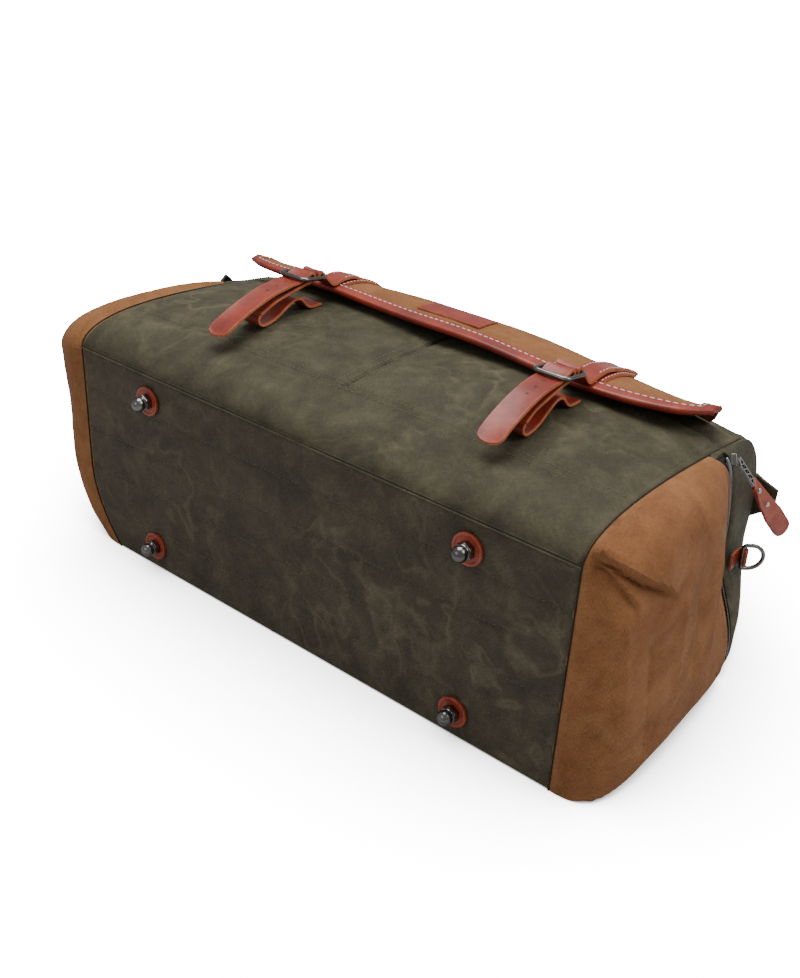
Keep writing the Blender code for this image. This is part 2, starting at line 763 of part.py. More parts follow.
def strap_path(middle, near, root_end):
    """A strap's way: up from its root, over the middle bar, under the near bar and out."""
    around = BUCKLE_WIRE + GAP + 0.0003 + STRAP_T / 2
    under = near.y - around
    rise = root_end.lerp(Vector((near.x, under - STRAP_T - STRAP_ROOM)), 0.5)
    out = [(near.x - 0.010, under + 0.0002)]
    for share, drop in ((0.35, 0.0013), (0.60, 0.0062), (0.82, 0.0125), (1.0, 0.0195)):
        out.append((lerp(near.x, STRAP_TIP_H, share), under - drop))
    return [root_end + Vector((0.0007, 0.0007)), (rise.x - 0.010, rise.y + 0.0002), (rise.x, rise.y + 0.0022),
            (near.x, under - STRAP_T - STRAP_ROOM), (middle.x - 0.005, middle.y - around - 0.0004),
            *circle_points(middle, around, (270, 315, 0, 45, 90)),
            (near.x + 0.006, lerp(middle.y + around, under, 0.6)), (near.x, under), *out]


def pocket_rest(x, h):
    """The height at which a strap's middle lies on the front pocket."""
    up = (h - POCKET_LOW) / (POCKET_HIGH - POCKET_LOW)
    edges = [(abs(x) + k * STRAP_W / 2 - SEAM_GAP) / (POCKET_HALF - SEAM_GAP) for k in (-1, 1)]
    return max(pocket_point(1, across, up).z for across in edges) + POCKET_T / 2 + GAP + STRAP_T / 2


def strap_root_path(x, up):
    """The strap's sewn root: a foot on the pocket, a crest, a trough and a turn up."""
    above = [(0.160, 0.0), (0.148, 0.0), (0.142, 0.0027), (0.135, 0.0097), (0.127, 0.0104), (0.116, 0.0057),
             (0.106, 0.0013), (0.097, 0.0), (0.0895, 0.0010)]
    on_pocket = [(h + up, pocket_rest(x, h + up) + lift) for h, lift in above]
    low_h, low_z = on_pocket[-1]
    return on_pocket + [(low_h - 0.0043, low_z + 0.0030), (low_h - 0.0047, low_z + 0.0065),
                        (low_h - 0.0025, low_z + 0.0095)]


def closures(flap_parts):
    for name, side in SIDES:
        x = STRAP_SHIFT + side * STRAP_X
        far, middle, near = buckle_bars(side)
        flap_parts.append(flap_strap(name + "_flap_strap", x, far))
        frame = buckle(name + "_buckle", x, far, middle, near)
        root = strap_root_path(x, LEFT_ROOT_UP if side < 0 else 0.0)
        ribbon(name + "_strap_root", on_path(root, 3), STRAP_W, STRAP_T, LEATHER, x)
        way = on_path(strap_path(middle, near, Vector(root[-1])), 3)
        strap = ribbon(name + "_strap", way, STRAP_W, STRAP_T, LEATHER, x, True)
        pivot(name + "_buckle_axis", to_world(x, *far), frame, strap)


# The main zip, its slider and the carry handles on the top
def top_height(x, z):
    """How high the top reaches above the base at a length and thickness."""
    line = section(x)
    return max(lerp(a.x, b.x, (z - a.y) / (b.y - a.y))
               for a, b in zip(line, line[1:] + line[:1])
               if a.y != b.y and min(a.y, b.y) <= z <= max(a.y, b.y))


TEETH_T = 0.0025
SLIDER_INSET = 0.028    # from the end seam to the closed slider's middle
MAIN_SLIDER_X = HALF - SLIDER_INSET


def zip_strip(name, low, high):
    centre = to_world(0.0, RIDGE_H - TEETH_T / 2, (low + high) / 2)
    return block(name, (2 * LIP_END - 0.002, TEETH_T, high - low), DARK_TAPE, centre, 0.0004)


def pull_frame(name, length, width):
    """A zip pull: a flat metal frame with a window, along its own X."""
    data = bpy.data.curves.new(name, "CURVE")
    data.dimensions = "2D"
    data.fill_mode = "BOTH"
    data.extrude = PULL_T / 2
    rim = 0.0014
    for inset, head in ((0.0, 0.0), (rim, rim)):
        line = data.splines.new("POLY")
        half = width / 2 - inset
        corner = [(head, half - 0.0012), (head + 0.0012, half), (length - inset, half)]
        outline = corner + [(x, -y) for x, y in reversed(corner)]
        line.points.add(len(outline) - 1)
        for point, (x, y) in zip(line.points, outline):
            point.co = (x, y, 0.0, 1.0)
        line.use_cyclic_u = True
    return add_object(name, data, METAL)


def pull_leather(name, start, length, width, thickness=0.0034):
    """A zip pull's leather: a flat strip with a round end, along its own X."""
    data = bpy.data.curves.new(name, "CURVE")
    data.dimensions = "2D"
    data.fill_mode = "BOTH"
    data.extrude = thickness / 2
    line = data.splines.new("POLY")
    half = width / 2
    outline = [(start, -half * 0.8), (start + length * 0.45, -half * 0.8), (start + length * 0.7, -half)]
    outline += [(start + length - half + half * math.cos(math.radians(a)), half * math.sin(math.radians(a)))
                for a in range(-75, 76, 30)]
    outline += [(x, -y) for x, y in reversed(outline[:3])]
    line.points.add(len(outline) - 1)
    for point, (x, y) in zip(line.points, outline):
        point.co = (x, y, 0.0, 1.0)
    line.use_cyclic_u = True
    return add_object(name, data, LEATHER)


def frame_of(place, along, out):
    """A place with its X along one direction and its Z as near as can be to another."""
    x = along.normalized()
    z = (out - x * out.dot(x)).normalized()
    y = z.cross(x)
    turn = Matrix((x, y, z)).transposed().to_4x4()
    return Matrix.Translation(place) @ turn


def place_pull(frame, leather, matrix):
    for piece in (frame, leather):
        piece.matrix_world = matrix


def main_zip():
    front = zip_strip("front_zip_teeth", RIDGE_Z + GAP / 2, RIDGE_Z + ZIP_HALF - GAP)
    zip_strip("back_zip_teeth", RIDGE_Z - ZIP_HALF + GAP, RIDGE_Z - GAP / 2)
    seat = RIDGE_H + GAP + SLIDER_T / 2
    slider = block("main_zip_slider", (SLIDER_LEN, SLIDER_T, SLIDER_W), METAL,
                   to_world(MAIN_SLIDER_X, seat, RIDGE_Z), 0.0009)
    bail = to_world(MAIN_SLIDER_X, seat + SLIDER_T / 2 + GAP + PULL_T / 2, RIDGE_Z)
    frame = pull_frame("main_zip_pull", PULL_LEN, PULL_W)
    leather = pull_leather("main_pull_leather", PULL_LEN + GAP, LEATHER_PULL_LEN, LEATHER_PULL_W)
    place_pull(frame, leather, frame_of(bail, Vector((-1, 0, 0)), Vector((0, 1, 0))))
    pivot("main_slider_axis", to_world(MAIN_SLIDER_X, seat, RIDGE_Z), slider)
    pivot("main_pull_axis", bail, frame, leather)
    return front


HOOK_R = RING_WIRE + GAP + TAB_T / 2


def ring_tab(name, x, z, fall):
    """A leather tab on the top, hooked round a ring's wire; fall is -1 downwards."""
    seat = GAP * 2 + TAB_T / 2
    wire = (top_height(x, z) + HOOK_R + seat, z)
    lengths = [TAB_LEN * share for share in (1.0, 0.7, 0.4)]
    sewn = [(top_height(x, z - fall * d) + seat, z - fall * d) for d in lengths]
    turns = (180, 225, 270, 315, 360, 400) if fall < 0 else (180, 135, 90, 45, 0, -40)
    hook = circle_points(wire, HOOK_R, turns)
    return ribbon(name, on_path(sewn + hook, 2), TAB_W, TAB_T, LEATHER, x), wire


def round_rectangle(half_w, half_l, corner, turns=(0, 30, 60, 90)):
    """Points round a rectangle with round corners."""
    points = []
    for cx, cy, start in ((1, 1, 0), (-1, 1, 90), (-1, -1, 180), (1, -1, 270)):
        for turn in turns:
            a = math.radians(start + turn)
            points.append((cx * (half_w - corner) + corner * math.cos(a),
                           cy * (half_l - corner) + corner * math.sin(a)))
    return points


def ring(name, centre, across, along):
    """A handle's ring: a rectangle of wire with round corners."""
    outline = round_rectangle(RING_HALF, RING_R, RING_CORNER)
    points = [centre + across * u + along * v for u, v in outline]
    return tube(name, points, RING_WIRE, METAL, closed=True, resolution=1)


def handle(name, wire_h, wire_z, half, way, bend):
    """A rolled handle between two rings: legs along a way, then a rounded bend."""
    start = 2 * RING_R + RING_WIRE + GAP
    side_points = []
    for reach in (0.0, 0.25, 0.5, 0.75):
        side_points.append((half, lerp(start, HANDLE_DROP - half * bend, reach)))
    for k in range(7):
        a = math.radians(15 * k)
        side_points.append((half * math.cos(a), HANDLE_DROP - half * bend + half * bend * math.sin(a)))
    outline = side_points + [(-x, d) for x, d in reversed(side_points[:-1])]
    points = [to_world(x, *way(wire_h, wire_z, d)) for x, d in outline]
    return tube(name, points, HANDLE_R, LEATHER, resolution=2)


def hang_down(h, z, d):
    """A way down from a ring, first slanting out to clear the main zip."""
    slant = math.radians(HANDLE_SLANT)
    out = min(d, HANDLE_CLEAR)
    return h + out * math.sin(slant), z - out * math.cos(slant) - (d - out)


def lie_out(h, z, d):
    """A way out from a ring and down, so that the handle's bend lies on the floor."""
    fall = (z - HANDLE_R - GAP) / HANDLE_DROP
    return h + d * math.sqrt(1.0 - fall * fall), z - d * fall


def carry_handle(name, z, half, way, fall):
    tabs, parts = [], []
    for side_name, side in SIDES:
        tab, wire = ring_tab(f"{name}_{side_name}_tab", side * half, z, fall)
        tabs.append(tab)
        hook = to_world(side * half, *wire)
        along = (to_world(side * half, *way(*wire, RING_R)) - hook).normalized()
        centre = hook + along * RING_R
        parts.append(ring(f"{name}_{side_name}_ring", centre, Vector((1, 0, 0)), along))
    parts.append(handle(name, *wire, half, way, 0.45))
    pivot(name + "_axis", to_world(0.0, *wire), *parts)
    return tabs


# Shoulder strap rings, zip end tabs and sliders on the ends
def end_reach(h, half):
    """How far out an end reaches under a piece of this half width at the shoulder strap's ring."""
    return max(end_surface(h, D_RING_Z + k * half) for k in (-1.0, -0.5, 0.0, 0.5, 1.0))


def d_ring_pieces(name, side):
    seat = GAP * 2 + TAB_T / 2
    wire_r = D_RING_WIRE + GAP + TAB_T / 2
    half = D_RING_W / 2 - 2 * D_RING_WIRE
    wire = (end_reach(D_RING_H, D_RING_W / 2) + wire_r + seat, D_RING_H)
    sewn = [(end_reach(h, half) + seat + 0.0004, h) for h in (D_RING_H - 0.0135, D_RING_H - 0.007)]
    hook = circle_points(wire, wire_r, (180, 135, 90, 45, 0, -40))
    rings = [[Vector((side * p.x, p.y - BACK_MID, D_RING_Z + k * half)) for k in (-1, 0, 1)]
             for p in on_path(sewn + hook, 2)]
    tab = add_bmesh(name + "_ring_tab", loft(rings, False), LEATHER)
    solidify(tab, TAB_T, 0.0)
    centre = Vector((side * wire[0], wire[1] - BACK_MID, D_RING_Z))
    out = Vector((side * math.cos(math.radians(40)), math.sin(math.radians(40)), 0.0))
    half = D_RING_W / 2
    up = Vector((0, 0, 1))
    bar = [(-half * 0.85, 0.0), (half * 0.85, 0.0), (half, 0.0015)]
    bow = circle_points((0.0, 0.006), half, range(0, 181, 20))
    points = [centre + up * u + out * v for u, v in bar + bow + [(-half, 0.0015)]]
    made = tube(name + "_d_ring", points, D_RING_WIRE, METAL, closed=True)
    pivot(name + "_d_ring_axis", centre, made)


def zip_end_tab(name, side):
    low = HALF + SEAM_GAP
    tip = low + EAR_LEN
    outline = [(low, -EAR_H), (tip, -EAR_H * 0.4), (tip, EAR_H * 0.25), (low, EAR_H * 0.6)]
    base = RIDGE_H + GAP
    points = [to_world(side * x, base, RIDGE_Z + 0.008 + dz) for x, dz in outline]
    add_bmesh(name + "_zip_end_tab", prism(points, (0, EAR_T, 0)), CANVAS)


PULL_FALL = Vector((0.028, 0.078, -0.105))


def end_slider(name, side):
    middle, axis, up, across = arch_axis(side)
    seat = arch_place(side, ARCH_END, ARCH_R, SLIDER_LIFT + SLIDER_T / 2)
    tangent = side * (seat - middle).cross(axis)
    slider = block(name + "_zip_slider", (SLIDER_LEN, SLIDER_W, SLIDER_T), METAL, bevel=0.0009)
    slider.matrix_world = frame_of(seat, tangent, axis)
    bail = seat + axis * (SLIDER_T / 2 + GAP + PULL_T / 2 + 0.0004)
    fall = Vector((side * PULL_FALL.x, PULL_FALL.y, PULL_FALL.z))
    frame = pull_frame(name + "_zip_pull", PULL_LEN, PULL_W)
    leather = pull_leather(name + "_pull_leather", PULL_LEN + GAP, LEATHER_PULL_LEN, LEATHER_PULL_W)
    place_pull(frame, leather, frame_of(bail, fall, axis))
    pivot(name + "_slider_axis", middle, slider)
    pivot(name + "_pull_axis", bail, frame, leather)


FLAP_PARTS = flap_pieces()
closures(FLAP_PARTS)
pivot("flap_axis", to_world(0.0, *flap_root(0.0)), *FLAP_PARTS)
LIP_PARTS = [bpy.data.objects["front_lip"], main_zip()]
LIP_PARTS += carry_handle("front_handle", FRONT_TAB_Z, FRONT_HANDLE_X, hang_down, -1)
pivot("front_lip_axis", to_world(0.0, SHOULDER_H, SHOULDER_Z), *LIP_PARTS)
carry_handle("back_handle", BACK_TAB_Z, BACK_HANDLE_X, lie_out, 1)
for SIDE_NAME, SIDE in SIDES:
    front_pocket(SIDE_NAME + "_front_pocket", SIDE)
    d_ring_pieces(SIDE_NAME, SIDE)
    zip_end_tab(SIDE_NAME, SIDE)
    end_slider(SIDE_NAME, SIDE)
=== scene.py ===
"""The weekender bag's finished look: waxed canvas, tan canvas, leather and dark metal.

Metres, in the CAD model's frame: +X along the bag's length, -Y the base with the feet,
+Y the top with the main zip, +Z up and out of the front. Points on the bag are written
as (x, h, z), where h is the height above the base.
"""
import math

import bpy
from mathutils import Matrix, Vector, noise


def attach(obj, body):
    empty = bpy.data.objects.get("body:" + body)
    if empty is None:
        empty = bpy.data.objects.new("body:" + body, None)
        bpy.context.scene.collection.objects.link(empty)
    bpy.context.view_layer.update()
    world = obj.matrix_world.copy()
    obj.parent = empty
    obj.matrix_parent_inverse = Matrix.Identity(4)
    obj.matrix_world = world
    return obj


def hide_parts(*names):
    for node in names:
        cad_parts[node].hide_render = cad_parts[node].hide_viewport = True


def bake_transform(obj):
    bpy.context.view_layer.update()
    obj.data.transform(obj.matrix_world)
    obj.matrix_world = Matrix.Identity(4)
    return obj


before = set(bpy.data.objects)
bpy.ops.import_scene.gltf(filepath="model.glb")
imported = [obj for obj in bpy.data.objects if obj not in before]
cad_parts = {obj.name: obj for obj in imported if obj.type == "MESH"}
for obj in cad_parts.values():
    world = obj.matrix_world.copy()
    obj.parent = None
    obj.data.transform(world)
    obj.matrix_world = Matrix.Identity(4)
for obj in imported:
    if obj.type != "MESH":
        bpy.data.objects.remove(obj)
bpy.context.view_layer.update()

# The bag's form, as in the solids
HALF = 0.250
BACK_MID = 0.145
BASE_T = 0.186
BASE_LEAN = 0.0127
FRONT_SWELL = 0.0345
FRONT_TURN = 0.009
SHOULDER_H = 0.265
SHOULDER_Z = 0.192
END_SHOULDER_H = 0.238
END_SHOULDER_Z = 0.181
BACK_SHOULDER_Z = 0.018
RIDGE_H = 0.285
RIDGE_Z = 0.105
TOP_FRONT_Z = 0.165
TOP_BACK_Z = 0.048
BACK_ROUND = 0.070
BULGE = 0.046
BULGE_POWER = 3.5
BULGE_TAPER = 0.85
TAPER_H = 0.125
TAPER_RUN = 0.110
TAPER_Z = 0.080
BULGE_CENTRE = (0.12, 0.035)
ARCH_R = 0.108
ARCH_CENTRE = (0.123, 0.0985)
ARCH_SEAT = 46.0
ARCH_END = 52.0
ARCH_FOOT = 0.062
ZIP_W = 0.009
WALL = 0.0022
BASE_LEN = math.hypot(BASE_LEAN, BASE_T)
LEAN = math.atan2(BASE_LEAN, BASE_T)
POCKET_LOW = 0.066
POCKET_HIGH = 0.205
POCKET_HALF = 0.247
POCKET_T = 0.0016
POCKET_ROOM = 0.0060
SIDES = (("left", -1), ("right", 1))


def lerp(a, b, t):
    return a + (b - a) * t


def smooth(t):
    t = min(max(t, 0.0), 1.0)
    return t * t * (3.0 - 2.0 * t)


def at(x, h, z):
    """A point of the bag by its length, height above the base and thickness."""
    return Vector((x, h - BACK_MID, z))


def bezier(points, t):
    s = 1.0 - t
    shares = (s ** 3, 3 * s * s * t, 3 * s * t * t, t ** 3)
    return tuple(sum(k * p[i] for k, p in zip(shares, points)) for i in range(2))


def curve_through(points, steps):
    """Points along a smooth line through the given points (Catmull-Rom)."""
    pts = [Vector(p) for p in points]
    ends = [2 * pts[0] - pts[1]] + pts + [2 * pts[-1] - pts[-2]]
    out = []
    for a, b, c, d in zip(ends, ends[1:], ends[2:], ends[3:]):
        for k in range(steps):
            t = k / steps
            out.append(0.5 * (2 * b + (c - a) * t + (2 * a - 5 * b + 4 * c - d) * t * t
                              + (3 * b - a - 3 * c + d) * t ** 3))
    return out + [pts[-1]]


# Modelling helpers
def basic(add_mesh, name, **values):
    """Add one of Blender's basic meshes, with nothing else selected, and name it."""
    bpy.ops.object.select_all(action="DESELECT")
    add_mesh(**values)
    return named(name)


def only(*pieces):
    """Select just these objects, with the first one active."""
    bpy.ops.object.select_all(action="DESELECT")
    for piece in pieces:
        piece.select_set(True)
    bpy.context.view_layer.objects.active = pieces[0]


def named(name):
    """Name the object that an operator has just added."""
    piece = bpy.context.object
    piece.name = name
    piece.data.name = name
    return piece


def finish_with(piece, kind, **values):
    """Give a piece a modifier, set it up and apply it."""
    step = piece.modifiers.new(kind.lower(), kind)
    for key, value in values.items():
        setattr(step, key, value)
    only(piece)
    bpy.ops.object.modifier_apply(modifier=step.name)


def settle(piece):
    """Put an object's place into its mesh, so that it sits at the origin."""
    only(piece)
    bpy.ops.object.transform_apply(location=True, rotation=True, scale=True)


def edit(piece, *steps):
    """Run operators on the whole of a piece in edit mode."""
    only(piece)
    bpy.ops.object.mode_set(mode="EDIT")
    bpy.ops.mesh.select_all(action="SELECT")
    for step in steps:
        step()
    bpy.ops.object.mode_set(mode="OBJECT")


def join(name, *pieces):
    only(*pieces)
    if len(pieces) > 1:
        bpy.ops.object.join()
    return named(name)


def smooth_by(piece, degrees):
    only(piece)
    bpy.ops.object.shade_smooth_by_angle(angle=math.radians(degrees))


def cloth(name, cells_u, cells_v, place, size, out, to_rim=None):
    """A sheet: a grid laid on a surface, with its UV map in metres and its rim's distance kept."""
    piece = basic(bpy.ops.mesh.primitive_grid_add, name, x_subdivisions=cells_u, y_subdivisions=cells_v,
                  size=2)
    mesh = piece.data
    rim = mesh.attributes.new("rim", "FLOAT", "POINT")
    middle = Vector()
    for k, vert in enumerate(mesh.vertices):
        u = (vert.co.x + 1) / 2
        v = (vert.co.y + 1) / 2
        edges = (u * size[0], (1 - u) * size[0], v * size[1], (1 - v) * size[1])
        rim.data[k].value = to_rim(u, v) if to_rim else min(edges)
        vert.co = place(round(u * cells_u) / cells_u, round(v * cells_v) / cells_v)
    for corner in mesh.uv_layers[0].data:
        corner.uv = (corner.uv[0] * size[0], corner.uv[1] * size[1])
    mesh.update()
    for face in mesh.polygons:
        middle += face.normal * face.area
    if middle.dot(Vector(out)) < 0:
        edit(piece, bpy.ops.mesh.flip_normals)
    return piece


def flat_uv(piece, first, second):
    """A UV map in metres from two of a piece's own coordinates."""
    mesh = piece.data
    for loop, corner in zip(mesh.loops, mesh.uv_layers[0].data):
        place = mesh.vertices[loop.vertex_index].co
        corner.uv = (place[first], place[second])


def emboss(piece, relief):
    """Move each point of a sheet along its normal, by what a relief gives for it."""
    mesh = piece.data
    rims = mesh.attributes["rim"].data
    moved = [v.co + v.normal * relief(v.co, rims[k].value) for k, v in enumerate(mesh.vertices)]
    for vert, place in zip(mesh.vertices, moved):
        vert.co = place
    mesh.update()


def thicken(piece, thickness, offset=-1.0, rim_material=0):
    finish_with(piece, "SOLIDIFY", thickness=thickness, offset=offset, use_even_offset=False,
                material_offset_rim=rim_material)
    smooth_by(piece, 50)


def wire(name, points, radius, closed=False, sides=5):
    """A wire or cord of leather: a line with a round section, made a mesh."""
    data = bpy.data.curves.new(name, "CURVE")
    data.dimensions = "3D"
    data.bevel_depth = radius
    data.bevel_resolution = sides
    data.use_fill_caps = not closed
    line = data.splines.new("POLY")
    line.points.add(len(points) - 1)
    for point, place in zip(line.points, points):
        point.co = (*place, 1.0)
    line.use_cyclic_u = closed
    piece = bpy.data.objects.new(name, data)
    bpy.context.collection.objects.link(piece)
    only(piece)
    bpy.ops.object.convert(target="MESH")
    piece = named(name)
    smooth_by(piece, 50)
    return piece


def even(points, pitch):
    """Points at an even pitch along a line, with the line's direction at each."""
    out = []
    due = pitch / 2
    gone = 0.0
    for a, b in zip(points, points[1:]):
        length = (b - a).length
        while due <= gone + length and length > 0:
            out.append((a.lerp(b, (due - gone) / length), (b - a) / length))
            due += pitch
        gone += length
    return out


def repeat(name, pattern, places):
    """Copies of one small piece, each put where a matrix says, as one mesh, in place of the piece."""
    verts = [v.co.copy() for v in pattern.data.vertices]
    faces = [tuple(f.vertices) for f in pattern.data.polygons]
    all_verts, all_faces = [], []
    for matrix in places:
        start = len(all_verts)
        all_verts += [matrix @ v for v in verts]
        all_faces += [tuple(start + i for i in face) for face in faces]
    mesh = bpy.data.meshes.new(name)
    mesh.from_pydata(all_verts, [], all_faces)
    piece = bpy.data.objects.new(name, mesh)
    bpy.context.collection.objects.link(piece)
    smooth_by(piece, 60)
    bpy.data.objects.remove(pattern)
    return piece


def turn_to(place, along, out):
    """A matrix with its X along one way and its Z as near as can be to another."""
    x = along.normalized()
    z = (out - x * out.dot(x)).normalized()
    turn = Matrix((x, z.cross(x), z)).transposed().to_4x4()
    return Matrix.Translation(place) @ turn


def stitch_pattern(length, radius):
    """One stitch: a short thread with sunken ends."""
    piece = basic(bpy.ops.mesh.primitive_uv_sphere_add, "stitch", segments=6, ring_count=4, radius=radius)
    piece.rotation_euler = (0.0, math.pi / 2, 0.0)
    settle(piece)
    piece.scale = (length / (2 * radius), 1.0, 0.7)
    settle(piece)
    return piece


# Kinds of stitches: pitch, length and radius of the thread
CANVAS_STITCH = (0.0042, 0.0031, 0.00042)
POCKET_STITCH = (0.0042, 0.0031, 0.00036)
QUILT_STITCH = (0.0040, 0.0030, 0.00034)
EAR_STITCH = (0.0040, 0.0030, 0.00036)
STRAP_STITCH = (0.0046, 0.0034, 0.00045)
BINDING_STITCH = (0.0058, 0.0044, 0.00060)


def sew(name, carrier, lines, stitch):
    """Rows of stitches on a sheet, each line put on the sheet's own surface."""
    pitch, length, radius = stitch
    pattern = stitch_pattern(length, radius)
    places = []
    bpy.context.view_layer.update()
    for line in lines:
        for point, along in even(line, pitch):
            found, spot, normal, _ = carrier.closest_point_on_mesh(point)
            if found:
                places.append(turn_to(spot + normal * radius * 0.25, along, normal))
    return repeat(name, pattern, places)


def wear(piece, body, slot, *nodes):
    """Say which body a piece rides on and which nodes it stands for; the finish it is given (slot) is not
    used.
    """
    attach(piece, body)
    if nodes:
        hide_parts(*nodes)
    return piece


# Shader groups
def add(tree, kind, **values):
    """Add a node and set its options and its sockets."""
    node = tree.nodes.new(kind)
    for key, value in values.items():
        if key in node.inputs:
            node.inputs[key].default_value = value
        else:
            setattr(node, key, value)
    return node


def maths(tree, operation, first, second=None):
    node = add(tree, "ShaderNodeMath", operation=operation)
    for socket, value in zip(node.inputs, (first, second)):
        if value is None:
            continue
        if isinstance(value, (int, float)):
            socket.default_value = value
        else:
            tree.links.new(value, socket)
    return node.outputs[0]


def spread(tree, value, low, high, to_low=0.0, to_high=1.0):
    """A value stretched from one range to another, and held there."""
    node = add(tree, "ShaderNodeMapRange")
    for key, number in (("From Min", low), ("From Max", high), ("To Min", to_low), ("To Max", to_high)):
        node.inputs[key].default_value = number
    tree.links.new(value, node.inputs["Value"])
    return node.outputs["Result"]


def blend_colours(tree, factor, first, second, blend_type="MIX"):
    node = add(tree, "ShaderNodeMix", data_type="RGBA", blend_type=blend_type)
    for socket, value in ((node.inputs[0], factor), (node.inputs[6], first), (node.inputs[7], second)):
        if isinstance(value, (int, float)):
            socket.default_value = value
        elif isinstance(value, tuple):
            socket.default_value = (*value, 1.0)
        else:
            tree.links.new(value, socket)
    return node.outputs[2]


def new_group(name, inputs, outputs):
    tree = bpy.data.node_groups.new(name, "ShaderNodeTree")
    for label, kind, default in inputs:
        socket = tree.interface.new_socket(name=label, in_out="INPUT", socket_type=kind)
        if default is not None:
            socket.default_value = default
    for label, kind in outputs:
        tree.interface.new_socket(name=label, in_out="OUTPUT", socket_type=kind)
    start = tree.nodes.new("NodeGroupInput")
    end = tree.nodes.new("NodeGroupOutput")
    return tree, start, end


FLOAT = "NodeSocketFloat"
VECTOR = "NodeSocketVector"


def weave_group():
    """Plain weave: threads over and under, with slubs in the yarn."""
    tree, start, end = new_group("weave", [("Cloth", VECTOR, None), ("Threads", FLOAT, 900.0)],
                                 [("Height", FLOAT), ("Slub", FLOAT)])
    scaled = add(tree, "ShaderNodeVectorMath", operation="SCALE")
    tree.links.new(start.outputs["Cloth"], scaled.inputs[0])
    tree.links.new(start.outputs["Threads"], scaled.inputs["Scale"])
    split = add(tree, "ShaderNodeSeparateXYZ")
    tree.links.new(scaled.outputs[0], split.inputs[0])
    warp = maths(tree, "SINE", maths(tree, "MULTIPLY", split.outputs[0], 2 * math.pi))
    weft = maths(tree, "SINE", maths(tree, "MULTIPLY", split.outputs[1], 2 * math.pi))
    over = maths(tree, "MULTIPLY", warp, weft)
    tree.links.new(spread(tree, over, -1.0, 1.0), end.inputs["Height"])
    stretch = add(tree, "ShaderNodeMapping")
    stretch.inputs["Scale"].default_value = (420.0, 2600.0, 1.0)
    tree.links.new(start.outputs["Cloth"], stretch.inputs["Vector"])
    slub = add(tree, "ShaderNodeTexNoise", Scale=1.0, Detail=3.0)
    tree.links.new(stretch.outputs[0], slub.inputs["Vector"])
    tree.links.new(slub.outputs[0], end.inputs["Slub"])
    return tree


def wax_group():
    """Waxed canvas: pale crease lines, cloudy patches and fine mottling."""
    tree, start, end = new_group("wax", [("Place", VECTOR, None), ("Lines", FLOAT, 20.0)],
                                 [("Cracks", FLOAT), ("Clouds", FLOAT), ("Dust", FLOAT)])
    warp = add(tree, "ShaderNodeTexNoise", Scale=9.0, Detail=3.0)
    tree.links.new(start.outputs["Place"], warp.inputs["Vector"])
    moved = add(tree, "ShaderNodeVectorMath", operation="MULTIPLY_ADD")
    moved.inputs[1].default_value = (0.07, 0.07, 0.07)
    tree.links.new(warp.outputs["Color"], moved.inputs[0])
    tree.links.new(start.outputs["Place"], moved.inputs[2])
    ridge = add(tree, "ShaderNodeTexNoise", Detail=2.5, Roughness=0.55)
    tree.links.new(moved.outputs[0], ridge.inputs["Vector"])
    tree.links.new(start.outputs["Lines"], ridge.inputs["Scale"])
    off = maths(tree, "ABSOLUTE", maths(tree, "SUBTRACT", ridge.outputs[0], 0.5))
    lines = spread(tree, off, 0.0, 0.042, 1.0, 0.0)
    where = add(tree, "ShaderNodeTexNoise", Scale=6.0, Detail=2.0)
    tree.links.new(start.outputs["Place"], where.inputs["Vector"])
    some = spread(tree, where.outputs[0], 0.40, 0.62)
    tree.links.new(maths(tree, "MULTIPLY", lines, some), end.inputs["Cracks"])
    cloud = add(tree, "ShaderNodeTexNoise", Scale=26.0, Detail=7.0, Roughness=0.68)
    tree.links.new(moved.outputs[0], cloud.inputs["Vector"])
    tree.links.new(spread(tree, cloud.outputs[0], 0.38, 0.64), end.inputs["Clouds"])
    dust = add(tree, "ShaderNodeTexNoise", Scale=55.0, Detail=4.0, Roughness=0.7)
    tree.links.new(start.outputs["Place"], dust.inputs["Vector"])
    tree.links.new(spread(tree, dust.outputs[0], 0.42, 0.70), end.inputs["Dust"])
    return tree


def rim_group():
    """Wear along the rim of a sheet, broken up by noise."""
    tree, start, end = new_group("rim_wear", [("Place", VECTOR, None), ("Reach", FLOAT, 0.006)],
                                 [("Wear", FLOAT)])
    rim = add(tree, "ShaderNodeAttribute", attribute_name="rim")
    near = maths(tree, "DIVIDE", rim.outputs["Fac"], start.outputs["Reach"])
    fade = spread(tree, near, 0.1, 1.0, 1.0, 0.0)
    grit = add(tree, "ShaderNodeTexNoise", Scale=90.0, Detail=3.0)
    tree.links.new(start.outputs["Place"], grit.inputs["Vector"])
    broken = spread(tree, grit.outputs[0], 0.35, 0.62)
    tree.links.new(maths(tree, "MULTIPLY", fade, broken), end.inputs["Wear"])
    return tree


def grain_group():
    """Leather: fine pebbled grain, soft clouds of tone and scuffs."""
    tree, start, end = new_group("leather_grain", [("Place", VECTOR, None)],
                                 [("Pebble", FLOAT), ("Tone", FLOAT), ("Scuff", FLOAT)])
    cells = add(tree, "ShaderNodeTexVoronoi", Scale=900.0)
    tree.links.new(start.outputs["Place"], cells.inputs["Vector"])
    tree.links.new(spread(tree, cells.outputs["Distance"], 0.0, 0.7), end.inputs["Pebble"])
    tone = add(tree, "ShaderNodeTexNoise", Scale=38.0, Detail=4.0)
    tree.links.new(start.outputs["Place"], tone.inputs["Vector"])
    tree.links.new(spread(tree, tone.outputs[0], 0.35, 0.65), end.inputs["Tone"])
    scuff = add(tree, "ShaderNodeTexNoise", Scale=210.0, Detail=5.0, Roughness=0.75)
    tree.links.new(start.outputs["Place"], scuff.inputs["Vector"])
    tree.links.new(spread(tree, scuff.outputs[0], 0.52, 0.72), end.inputs["Scuff"])
    return tree


WEAVE = weave_group()
WAX = wax_group()
RIM_WEAR = rim_group()
GRAIN = grain_group()


